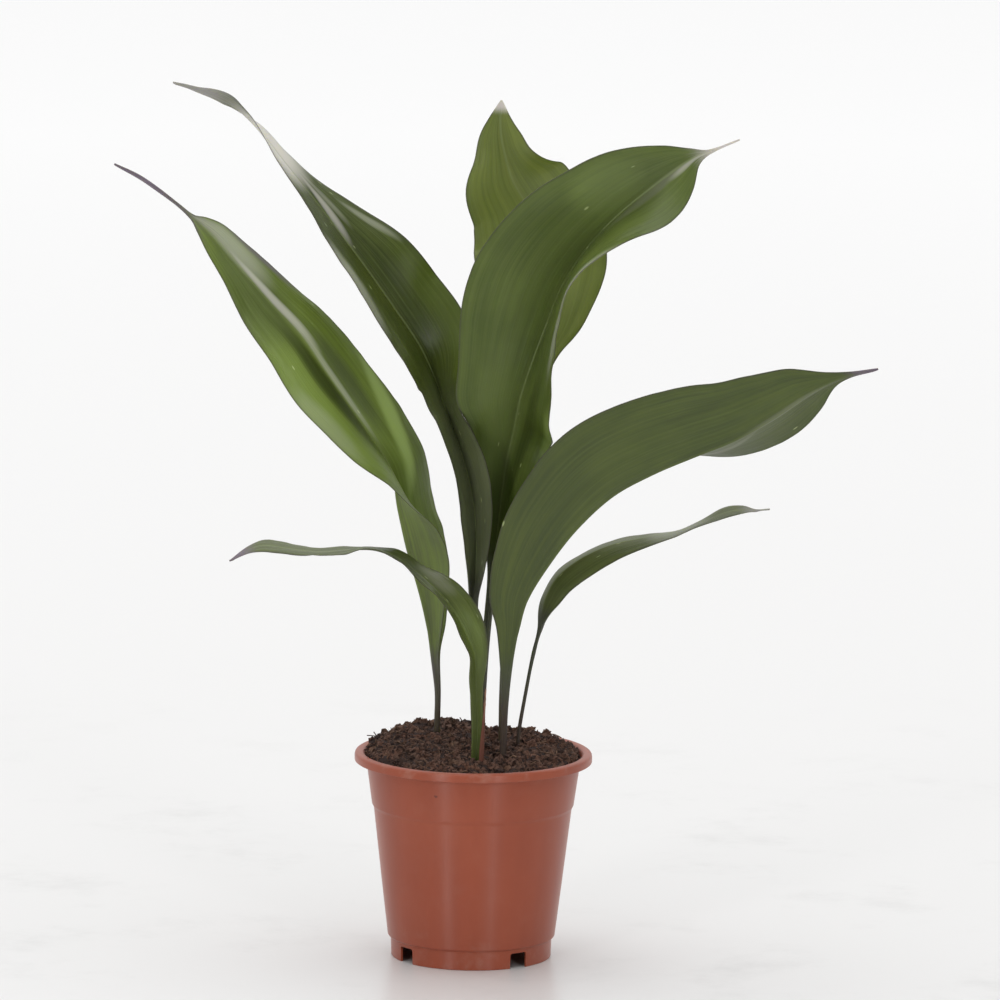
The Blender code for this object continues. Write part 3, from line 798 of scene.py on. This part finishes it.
def vein_group():
    """Markings that run the length of a leaf: soft streaks, fine veins, cloudy patches and pale specks."""
    inputs = dict.fromkeys(("Across", "Along", "Veins", "Seed"), "Float")
    outputs = dict.fromkeys(("Streak", "Vein", "Cloud", "Speck"), "Float")
    group, entry, leave = new_group("leaf_veins", "Shader", inputs, outputs)
    across, along, veins, seed = (entry[label] for label in inputs)
    streaks = spot(group, across * (veins * 0.45), along * 5.0, seed)
    join(rise(grain(streaks, 1.0, 3.0, 0.6), 0.3, 0.7), leave, "Streak")
    threads = spot(group, across * veins, along * 9.0, seed)
    join(rise(grain(threads, 1.0, 2.0, 0.6), 0.42, 0.66), leave, "Vein")
    surface = spot(group, across * 2.2, along * 22.0, seed)
    join(rise(grain(surface, 1.0, 3.0), 0.35, 0.68), leave, "Cloud")
    specks = field(group, "ShaderNodeTexVoronoi", {"Vector": surface, "Scale": 1.6})
    join(rise(specks, 0.075, 0.03), leave, "Speck")
    return group


leaf_blade = blade_tree()
leaf_veins = vein_group()


def patch(along, across, place, middle, slant, length, width, share):
    """A soft oval patch: its place along the leaf and its length in millimetres, the rest as shares.

    The middle and the width are shares of the half width, the slant is how far the middle moves across.
    """
    far = (along - place * MM) / (length * MM)
    aside = (across - middle - far * slant) / width
    return rise(far * far + aside * aside, 1.0, 0.0) * share


def leaf_skin(name, greens, dry, dry_length, seed, patches, stalk_green=STALK_GREEN, stalk_foot=STALK_PURPLE):
    """Waxy leaf skin. The greens are the deep and the light one of the face and the one of the duller back.

    The tip is dry over its last stretch, in metres. The stalk has a green of its own and a darker foot.
    """
    deep, light, under = greens
    made, shader, place = finish(
        name, 0.4, 0.26, subsurface_weight=0.22, subsurface_radius=(0.8, 1.0, 0.15), subsurface_scale=0.0012,
        coat_weight=0.025, coat_roughness=0.25,
    )
    across, along, reach, blade, tip, below = (carried(place, label) for label in LEAF_MARKS)
    inputs = {"Across": across, "Along": along, "Veins": VEINS, "Seed": seed}
    lines = put(place.tree, "ShaderNodeGroup", inputs, node_tree=leaf_veins).outputs
    streak, vein, cloud, speck = (Field(place.tree, line) for line in lines)
    share = streak * 0.6 + cloud * 0.45
    face = tint(vein * 0.12, tint(share, deep, light), VEIN_PALE)
    back = tint(vein * 0.08, tint(share * 0.8, under, light), VEIN_PALE)
    colour = tint(below, face, back)
    # Most patches paint light and shade: highlights, sheen and glare off the waxy face, and shade in folds
    # and behind other leaves; a few are the leaf's own colour.
    for shade, *oval in patches:
        colour = tint(patch(along, across, *oval), colour, shade)
    out = abs(across)
    rib = rise(out * reach, *MIDRIB_EDGE) * (blade * (0.4 - below * 0.25))
    colour = tint(rib, colour, MIDRIB_GREEN)
    hem = rise((1.0 - out) * reach, *HEM_EDGE) * (blade * 0.6)
    colour = tint(hem, colour, MARGIN_DARK)
    colour = tint(speck * 0.5, colour, SPECK_PALE)
    foot = rise(height_of(place) + grain(place, 90.0) * 0.03, *STALK_FOOT_HEIGHT)
    stalk = tint(streak * 0.3, tint(foot, stalk_green, stalk_foot), light)
    colour = tint(rise(blade, 0.75, 0.0), colour, stalk)
    ragged = tip + (streak - 0.5) * (dry_length * 0.25)
    withered = rise(ragged, dry_length, dry_length * 0.35)
    join(tint(withered, colour, dry), shader, "Base Color")
    rough = 0.34 + below * 0.12 + streak * 0.08
    join(calc("ADD", rough, withered * 0.25, clamp=True), shader, "Roughness")
    relief(shader, vein + grain(place, 1800.0, 2.0) * 0.25, 0.00008, 0.5)
    return made


def leaf(name, stations, patches, seed, greens, dry, dry_length, bow=10.0, ripple=0.003, ripple_length=0.03,
         margins=(), slot="leaf_green", **stalk):
    """One leaf: its skin, its mesh with veins and ripples, and the body that it stands for.

    A station is x, y, z and half the width in millimetres, then roll and fold in degrees. A margin says how
    far along an edge bulges or draws in, on which hand (-1 left, 1 right), by how much and over what stretch.
    """
    skin = leaf_skin(name + "_skin", greens, dry, dry_length, seed, patches, **stalk)
    guide = leaf_mesh(name + "_blade", stations, bow, margins)
    piece = grow(
        name + "_blade", guide, leaf_blade, ribs=RIBS, rib_height=RIB_HEIGHT, ripple=ripple,
        ripple_length=ripple_length, seed=seed, skin=skin,
    )
    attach(piece, "root")
    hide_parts(name)


# Tall left leaf: it folds into a channel low down, turns its dark right half to the front,
# and narrows to a long neck, painted pale with glare, that ends in a drooping grey-green flag.
TALL_LEFT = (
    (1, 8, 132, 2.2, 0, 45),
    (0, 8, 157, 2.2, 0, 45),
    (0, 4, 188, 2.2, 0, 45),
    (-1, -1, 213, 2.8, 0, 45),
    (0, -4, 231, 7, 0, 50),
    (0, -6, 250, 13, -3, 55),
    (-2, -5, 273, 19, -6, 60),
    (-8, -2, 297, 21, -9.5, 63.5),
    (-16, 4, 319, 20, -3.5, 68.5),
    (-20, 7, 328, 19.5, -7, 58),
    (-23, 11, 337, 26, -8, 59),
    (-34, 16, 360, 32, -34, 38),
    (-50, 20, 383, 32, -44, 30),
    (-66, 23, 405, 30, -45, 31),
    (-82, 25, 426, 23, -53, 19),
    (-100, 26, 449, 16, -68, 9),
    (-117, 26, 470, 11.5, -77, 5),
    (-131, 26, 488, 10, -92, 6),
    (-142, 25, 499, 6.5, -114, 5),
    (-149, 24, 504, 8.5, -120, 5),
    (-157, 24, 507.5, 7, -122, 5),
    (-167, 23, 510.5, 3.6, -122, 5),
    (-174, 22, 513, 2, -122, 5),
    (-181, 22, 515, 0.5, -122, 5),
)
# Painted light: a grey sheen low down, glare over the neck, and sheen streaks along the fold and the left
# margin; the olive patch brightens the right half.
TALL_LEFT_PATCHES = (
    (GREY_GREEN, 130, 0, 0, 120, 3, 0.4),
    (BRIGHT_OLIVE, 262, 0.85, -0.1, 62, 0.45, 0.6),
    (PAINTED_GLARE, 402, 0, 0, 40, 1.8, 0.85),
    (PAINTED_GLARE, 350, 0.17, 0.15, 30, 0.14, 0.45),
    (PAINTED_SHEEN, 357, 0.42, 0.1, 28, 0.12, 0.3),
    (PAINTED_SHEEN, 330, 0.8, -0.1, 24, 0.12, 0.35),
    (PAINTED_SHEEN, 304, -0.95, 0, 42, 0.28, 0.45),
)
leaf(
    "leaf_tall_left", TALL_LEFT, TALL_LEFT_PATCHES, seed=1.0, ripple=0.004, ripple_length=0.035,
    greens=((0.027, 0.038, 0.003), (0.054, 0.072, 0.007), (0.055, 0.068, 0.022)),
    dry=DRY_GREY, dry_length=0.05, margins=((198, 1, 1.8, 8), (231, -1, -1.3, 8)),
)

# Broad left leaf, younger and yellower than the rest. It rolls over as it rises, so its underside
# shows low down and its face above, and its tip is withered to a thin purple-grey thread.
BROAD_LEFT = (
    (-21, 22, 134, 2, -90, 45),
    (-21, 22, 154, 2.2, -90, 45),
    (-24, 21, 175, 5.5, -86, 45),
    (-27, 20, 190, 12, -80, 50),
    (-31, 18, 208, 19.5, -86, 49),
    (-36, 16, 226, 27, -90, 52),
    (-40, 14, 240, 30, -91, 50),
    (-43, 12, 253, 31, -90, 43),
    (-46, 11, 267, 31, -81.5, 32.5),
    (-48, 10, 280, 30.5, -72.5, 23.5),
    (-51.5, 9, 291, 29.5, -63.5, 18.5),
    (-63, 6, 309, 28.5, -49.5, 11.5),
    (-76, 3, 328, 28, -42.5, 4.5),
    (-89, 0, 347, 28, -38, -4),
    (-104, -3, 369, 25.5, -38, -9),
    (-123, -6, 390, 21.5, -39, -9),
    (-141, -8, 411, 16, -43, 2),
    (-155, -9, 428, 11, -43, 3),
    (-163, -10, 436, 6, -45, 4),
    (-168, -10, 440, 2, -45, 5),
    (-176, -10, 447, 0.9, -45, 5),
    (-188, -10, 456, 1.2, -45, 5),
    (-200, -10, 464, 1.2, -45, 5),
    (-214, -10, 471, 0.5, -45, 5),
)
# Painted light and shade: the bright outer left half with its sheen and the pale band on the right half are
# painted light, the dark bands each side of the midrib are painted shade, and the grey band and midrib
# streaks are painted sheen. The top is duller, and the purple patch is the dark right margin.
BROAD_LEFT_PATCHES = (
    (BRIGHT_GREEN, 240, -0.7, 0, 75, 0.5, 0.8),
    (PAINTED_SHEEN, 222, -0.85, 0, 34, 0.3, 0.25),
    (DEEP_SHADE, 240, -0.2, -0.05, 62, 0.24, 0.8),
    (DULL_GREEN, 236, 0.3, 0, 52, 0.26, 0.65),
    (PAINTED_LIT_GREEN, 200, 0.66, 0.4, 52, 0.24, 1),
    (DULL_GREEN, 312, -0.2, 0, 50, 1.1, 0.45),
    (PAINTED_SHEEN, 345, 0.4, 0, 46, 0.6, 0.6),
    (PAINTED_GLARE, 297, 0.14, 0, 46, 0.14, 0.5),
    (PAINTED_SHEEN, 245, 0.07, 0, 60, 0.08, 0.5),
    (DRY_PURPLE, 322, 1, 0, 40, 0.3, 0.75),
)
leaf(
    "leaf_broad_left", BROAD_LEFT, BROAD_LEFT_PATCHES, seed=2.0, bow=20.0,
    greens=((0.092, 0.128, 0.014), (0.160, 0.218, 0.042), (0.085, 0.105, 0.035)),
    dry=DRY_PURPLE, dry_length=0.075, slot="young_leaf_green", stalk_green=STALK_GREY,
)

# Small left leaf: it arches low over the front of the pot and is seen nearly edge-on.
SMALL_LEFT = (
    (2, -28, 124, 3.4, 0, 45),
    (2, -29, 147, 3.6, 0, 45),
    (1, -31, 168, 4.6, -5, 42),
    (0, -33, 186, 8, -36, 38),
    (-5, -35, 199, 12.5, -45, 34),
    (-12, -37, 212, 15, -60, 25),
    (-22, -39, 225, 17, -75, 15),
    (-34, -40, 236, 18, -85, 8),
    (-45, -42, 245, 18, -90, 4),
    (-57, -43, 250, 18, -97, 0),
    (-66, -44, 251, 18, -98, 0),
    (-78, -45, 250, 18, -92, 0),
    (-91, -46, 249, 17, -93, 0),
    (-103, -47, 250, 15.5, -91, 0),
    (-115, -49, 252, 13, -87, 0),
    (-125, -50, 253, 10, -82, 0),
    (-134, -51, 250, 6, -82, 0),
    (-144, -52, 244, 0.5, -82, 0),
)
# Painted shade darkens the arch and a painted grey sheen lies just below it; lower down the blade is a
# brighter green.
SMALL_LEFT_PATCHES = (
    (DEEP_SHADE, 146, 0, 0, 24, 2, 0.7),
    (GREY_GREEN, 118, 0.5, 0, 16, 0.5, 0.6),
    (BRIGHT_GREEN, 78, 0.2, 0, 26, 0.8, 0.4),
)
leaf(
    "leaf_small_left", SMALL_LEFT, SMALL_LEFT_PATCHES, seed=3.0, bow=8.0, ripple=0.008,
    greens=((0.050, 0.068, 0.011), (0.098, 0.122, 0.026), (0.078, 0.090, 0.035)),
    dry=DRY_PURPLE, dry_length=0.02, slot="young_leaf_green", stalk_green=YOUNG_STALK, stalk_foot=YOUNG_STALK,
)

# Front centre leaf, the largest: an upright trough whose right half folds forward,
# with a bleached tip drawn out to a thread.
CENTRE_FRONT = (
    (4, -3, 132, 2, 0, 45),
    (5, -1, 165, 2, 0, 45),
    (7.5, 2, 201, 2, 0, 45),
    (10, 4, 227, 3.5, 0, 45),
    (12, 6, 248, 9, 0, 45),
    (14, 8, 268, 16, 0, 42),
    (17, 8, 293, 24, 4, 36),
    (21, 5, 313, 27, 3, 33),
    (25, -5, 335, 38.2, 18.7, 37.7),
    (31, -15, 356, 45, 27, 42),
    (38, -22, 377, 52, 32, 47),
    (48, -32, 405, 56, 34, 51.5),
    (62, -40, 429, 52, 36, 54),
    (80, -46, 450, 41, 34, 45),
    (99, -50, 467, 31, 22, 30),
    (115, -53, 480, 16, 10, 12),
    (124, -54, 486, 6, 0, 5),
    (132, -54, 489, 1.6, 0, 0),
    (150, -56, 497, 0.5, 0, 0),
)
# Painted light and shade: the trough left of the midrib is lightened where its fold shades it, the right half
# gets a painted dark strip and a bright margin, the leaf behind casts a painted shadow with a lit patch
# beside it, and painted sheen and glare run along the fold to the tip. One patch near the tip is duller.
CENTRE_FRONT_PATCHES = (
    (PAINTED_FILL_GREEN, 185, -0.3, 0, 90, 0.6, 0.9),
    (DEEP_SHADE, 205, 0.38, 0.1, 60, 0.22, 0.5),
    (PAINTED_LIT_GREEN, 214, 0.95, 0, 34, 0.22, 0.6),
    (DEEP_SHADE, 325, -0.5, 0, 32, 0.7, 0.22),
    (PAINTED_LIT_GREEN, 366, -0.5, 0, 26, 0.5, 0.22),
    (PAINTED_SHEEN, 308, 0.9, 0.15, 62, 0.15, 0.55),
    (GREY_GREEN, 385, 0.1, -0.1, 45, 0.16, 0.6),
    (DULL_GREEN, 378, -0.3, 0, 34, 0.8, 0.3),
    (PAINTED_GLARE, 414, 0.15, 0, 22, 0.16, 0.35),
    (PAINTED_FILL_GREEN, 320, -0.15, 0, 80, 0.5, 0.4),
)
leaf(
    "leaf_centre_front", CENTRE_FRONT, CENTRE_FRONT_PATCHES, seed=4.0, bow=5.0, ripple=0.004,
    greens=((0.062, 0.088, 0.015), (0.105, 0.140, 0.028), (0.070, 0.092, 0.030)),
    dry=DRY_WHITE, dry_length=0.032, margins=((218, -1, 2.0, 9),),
)

# Back centre leaf: a broad short blade on the longest stalk, with a bleached tip.
CENTRE_BACK = (
    (17, 22, 129, 2, 0, 45),
    (17, 24, 148, 2, 0, 45),
    (18, 30, 180, 2, 0, 45),
    (20, 35, 207, 2, 0, 45),
    (24, 40, 238, 2, 0, 45),
    (28, 47, 274, 2, 0, 45),
    (32, 52, 306, 2.4, 0, 45),
    (35, 57, 332, 5, 0, 40),
    (36, 61, 351, 14, 0, 30),
    (38, 66, 370, 27, 0, 20),
    (37, 72, 392, 38, 0, 12),
    (34.5, 78, 415, 39.5, 0, 10),
    (27, 82, 435, 34.5, 0, 10),
    (18.5, 83, 450, 30, 0, 10),
    (14, 84, 465, 19, 16, 16),
    (11.5, 85, 477, 13, 14, 14),
    (11, 86, 487, 6.5, 10, 10),
    (11.5, 87, 497, 0.5, 0, 0),
)
leaf(
    "leaf_centre_back", CENTRE_BACK, (), seed=5.0, ripple_length=0.02,
    greens=((0.108, 0.138, 0.026), (0.170, 0.202, 0.040), (0.075, 0.095, 0.030)),
    dry=DRY_WHITE, dry_length=0.009,
)

# Broad right leaf: it arches away to the right and shows its duller underside, with thin grey streaks near
# the tip.
BROAD_RIGHT = (
    (17, -15, 129, 2.6, 90, 45),
    (18, -18, 157, 2.8, 95, 50),
    (21, -21, 181, 7.5, 100, 55),
    (25, -24, 200, 14, 105, 55),
    (30, -27, 218.5, 24.5, 112, 54),
    (43.5, -31, 242, 36, 115, 55),
    (59, -34, 263, 43, 119, 51),
    (79.5, -37, 283, 48, 123, 47),
    (101.5, -39, 296, 47.5, 129, 43),
    (125, -41, 307, 44.5, 136, 35),
    (151, -43, 318.5, 38.5, 144, 27),
    (173, -45, 332, 32, 146, 20),
    (191, -46, 345, 21.5, 148, 17),
    (206, -47, 354, 7, 146, 15),
    (217, -47, 358, 2.4, 145, 15),
    (233, -48, 362, 0.5, 145, 15),
)
# A painted grey sheen runs along the midrib near the tip, and a second grey streak slants across the half
# beside it.
BROAD_RIGHT_PATCHES = (
    (GREY_GREEN, 302, -0.02, 0, 42, 0.09, 0.6),
    (GREY_GREEN, 257, -0.5, 0.5, 26, 0.11, 0.6),
)
leaf(
    "leaf_broad_right", BROAD_RIGHT, BROAD_RIGHT_PATCHES, seed=6.0,
    greens=((0.055, 0.075, 0.015), (0.090, 0.115, 0.026), (0.050, 0.066, 0.020)),
    dry=DRY_PURPLE, dry_length=0.022,
)

# Small right leaf: a narrow strap on a thin purple-brown stalk, its far half narrowing to a glossy neck
# painted pale with sheen.
SMALL_RIGHT = (
    (26, 5, 131, 1, 50, 20),
    (30, 8, 156, 0.9, 50, 20),
    (34, 10, 178, 1, 50, 20),
    (38, 12, 195, 1.8, 50, 0),
    (41, 12, 211, 9, 52, -26),
    (48, 11, 225, 12.5, 58, -28),
    (62, 9, 237, 13.5, 63, -28),
    (80, 6, 246, 13, 71, -21),
    (99, 3, 251, 11, 79, -13),
    (117, 0, 255, 10, 90, -6),
    (131, -3, 261, 9, 90, 0),
    (146, -5, 268, 7.5, 75, 0),
    (156, -6, 270, 5, 73, 0),
    (164, -7, 270, 0.9, 73, 0),
    (172, -8, 271, 0.5, 73, 0),
)
# Painted sheen over the whole width of the neck.
SMALL_RIGHT_PATCHES = (
    (PAINTED_SHEEN, 190, 0, 0, 24, 1.3, 0.5),
)
leaf(
    "leaf_small_right", SMALL_RIGHT, SMALL_RIGHT_PATCHES, seed=7.0, bow=6.0,
    greens=((0.074, 0.092, 0.026), (0.120, 0.142, 0.042), (0.070, 0.082, 0.034)),
    dry=DRY_GREY, dry_length=0.02,
)

# --- Dry sheath --------------------------------------------------------------
# A papery scale leaf that once wrapped the bud. It has dried to a reddish-brown curl round the foot of
# the small left leaf's stalk, torn along its top.

SHEATH_FOOT = (2.0, -28.0)
SHEATH_INNER = 4.0
SHEATH_PAPER = 0.35
SHEATH_TOP = 165.0
SHEATH_ARC = (-72.0, 82.0)
SHEATH_NARROWING = 0.72
SHEATH_LEAN = 0.5
SHEATH_FLARE = 0.2
SHEATH_TEAR = (1.5, 1.0, 6.0)
SHEATH_CRINKLE = (0.18, 0.12)
SHEATH_PALE = (0.138, 0.164)
SHEATH_ROWS = 40
SHEATH_COLUMNS = 28
SHEATH_BROWN = (0.165, 0.062, 0.040)
SHEATH_TAN = (0.40, 0.22, 0.15)


def sheath_finish():
    """Dry paper with lengthwise threads, paler at its torn top."""
    made, shader, place = finish("dry_sheath", 0.75, 0.3)
    threads = grain(vector("MULTIPLY", place, (900.0, 900.0, 60.0)), 1.0, 3.0)
    pale = rise(height_of(place), *SHEATH_PALE) + threads * 0.5
    join(tint(rise(pale, 0.35, 1.1), SHEATH_BROWN, SHEATH_TAN), shader, "Base Color")
    relief(shader, threads, 0.0003, 0.8)
    return made


def sheath_point(up, u, layer):
    """A place on the paper, from its share of the height, its share of the half arc and its depth."""
    wide, narrow, corner = SHEATH_TEAR
    torn = wide * math.sin(9.0 * u) + narrow * math.sin(23.0 * u + 1.0) - corner * abs(u) ** 3
    height = ROOT_HEIGHT + (SHEATH_TOP + min(torn, 0.0) - ROOT_HEIGHT) * up
    half = (SHEATH_ARC[1] - SHEATH_ARC[0]) / 2 * (1 - SHEATH_NARROWING * up**2)
    angle = math.radians(sum(SHEATH_ARC) / 2 + half * u)
    coarse, fine = SHEATH_CRINKLE
    crinkle = coarse * math.sin(height * 0.7 + u * 4) + fine * math.sin(height * 1.9 - u * 9)
    radius = SHEATH_INNER + layer + crinkle * up + SHEATH_FLARE * up**3
    x = SHEATH_FOOT[0] + SHEATH_LEAN * up**2 + radius * math.cos(angle)
    return x, SHEATH_FOOT[1] + radius * math.sin(angle), height


def make_sheath():
    """The paper as two sheets a paper's depth apart, joined all round their rim."""
    points, faces = [], []
    for layer in (0.0, SHEATH_PAPER):
        for k in range(SHEATH_ROWS + 1):
            for c in range(SHEATH_COLUMNS + 1):
                points.append(sheath_point(k / SHEATH_ROWS, 2 * c / SHEATH_COLUMNS - 1, layer))
    wide = SHEATH_COLUMNS + 1
    sheet = wide * (SHEATH_ROWS + 1)
    for k in range(SHEATH_ROWS):
        for c in range(SHEATH_COLUMNS):
            a = k * wide + c
            faces.append((a, a + 1, a + wide + 1, a + wide))
            faces.append((sheet + a, sheet + a + wide, sheet + a + wide + 1, sheet + a + 1))
    rim = list(range(wide)) + [k * wide + wide - 1 for k in range(1, SHEATH_ROWS + 1)]
    rim += [SHEATH_ROWS * wide + c for c in range(wide - 2, -1, -1)]
    rim += [k * wide for k in range(SHEATH_ROWS - 1, 0, -1)]
    for a, b in zip(rim, rim[1:] + rim[:1]):
        faces.append((a, sheet + a, sheet + b, b))
    return show("dry_sheath_scale", closed_mesh("dry_sheath_scale", points, faces, 60.0), sheath_finish())


sheath = make_sheath()
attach(sheath, "root")
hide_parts("dry_sheath")

# --- Studio ------------------------------------------------------------------
# A white floor under soft white light that is strongest from above and weakest from in front, with two
# tall soft boxes in front and a broad one overhead. The camera looks slightly down, through a long lens.

FLOOR_RADIUS = 60.0
FLOOR_PAINTED_SHADE = (0.715, 0.71, 0.705)
FLOOR_FAR = (0.965, 0.965, 0.965)
FLOOR_WORN = (0.63, 0.625, 0.62)
FLOOR_SHADE_FADE = (0.1, 3.2)
WEAR_FADE = (1.0, 0.2)
OVERHEAD_LIGHT = 1.66
FRONT_LIGHT = 0.16
BEHIND_SHARE = 0.3
CAMERA_TARGET = Vector((0.0137, 0.0, 0.2727))
CAMERA_DISTANCE = 8.0
CAMERA_ELEVATION = math.radians(10.2)
CAMERA_ROLL = math.radians(0.75)
CAMERA_LENS = 490.4
CAMERA_SENSOR = 36.0
CAMERA_RANGE = (0.5, 200.0)
SOFT_BOXES = (
    ("soft_box_left", (-1.72, -2.92, 0.8), (0.28, 1.6), 22.0),
    ("soft_box_right", (1.43, -3.07, 0.8), (0.28, 1.6), 17.0),
    ("soft_box_top", (-0.3, 0.2, 2.6), (2.2, 2.2), 14.0),
)


def make_floor():
    """A wide floor, greyer near the pot with painted shade, and a little worn there."""
    made, shader, place = finish("studio_floor", 0.3, 0.5)
    reach = field(place.tree, "ShaderNodeVectorMath", {0: place}, 1, operation="LENGTH")
    # Painted shade: the floor greys towards the pot, as light falls off round the plant.
    colour = tint(rise(reach, *FLOOR_SHADE_FADE, smooth=False), FLOOR_PAINTED_SHADE, FLOOR_FAR)
    worn = rise(grain(place, 9.0, 7.0, 0.7), 0.5, 0.8) * rise(reach, *WEAR_FADE)
    join(tint(worn, colour, FLOOR_WORN), shader, "Base Color")
    mesh = bpy.data.meshes.new("studio_floor")
    corners = [(x * FLOOR_RADIUS, y * FLOOR_RADIUS, 0.0) for x, y in ((-1, -1), (1, -1), (1, 1), (-1, 1))]
    mesh.from_pydata(corners, [], [(0, 1, 2, 3)])
    return show("studio_floor", mesh, made)


def make_light(name, place, size, power):
    """A soft box that faces the plant."""
    data = bpy.data.lights.new(name, "AREA")
    data.shape = "RECTANGLE"
    data.size, data.size_y = size
    data.energy = power
    made = show(name, data)
    made.location = place
    made.rotation_euler = (Vector(place) - CAMERA_TARGET).to_track_quat("Z", "Y").to_euler()


def make_world():
    """White all round for the camera; as light it is brightest from above and dimmest from in front."""
    world = bpy.data.worlds.new("studio_light")
    world.use_nodes = True
    tree = world.node_tree
    background = tree.nodes["Background"]
    around = field(tree, "ShaderNodeTexCoord", output="Generated")
    behind, above = (field(tree, "ShaderNodeSeparateXYZ", {0: around}, part) for part in (1, 2))
    share = rise(behind * BEHIND_SHARE + above, -BEHIND_SHARE, 1.0, smooth=False) ** 2.0
    inputs = {"Value": share, "To Min": FRONT_LIGHT, "To Max": OVERHEAD_LIGHT}
    strength = field(tree, "ShaderNodeMapRange", inputs)
    seen = field(tree, "ShaderNodeLightPath", output="Is Camera Ray")
    join(field(tree, "ShaderNodeMix", {0: seen, 2: strength, 3: 1.0}), background, "Strength")
    background.inputs["Color"].default_value = (1.0, 1.0, 1.0, 1.0)
    bpy.context.scene.world = world


def make_camera():
    """The camera, aimed at the plant's middle and turned a little about its own axis."""
    data = bpy.data.cameras.new("camera")
    data.lens = CAMERA_LENS
    data.sensor_width = CAMERA_SENSOR
    data.clip_start, data.clip_end = CAMERA_RANGE
    made = show("camera", data)
    back = Vector((0.0, -math.cos(CAMERA_ELEVATION), math.sin(CAMERA_ELEVATION)))
    made.location = CAMERA_TARGET + back * CAMERA_DISTANCE
    made.rotation_mode = "QUATERNION"
    made.rotation_quaternion = back.to_track_quat("Z", "Y") @ Quaternion((0.0, 0.0, 1.0), CAMERA_ROLL)
    bpy.context.scene.camera = made


floor = make_floor()
for name, place, size, power in SOFT_BOXES:
    make_light(name, place, size, power)
make_world()
make_camera()
bpy.context.scene.view_settings.view_transform = "Standard"
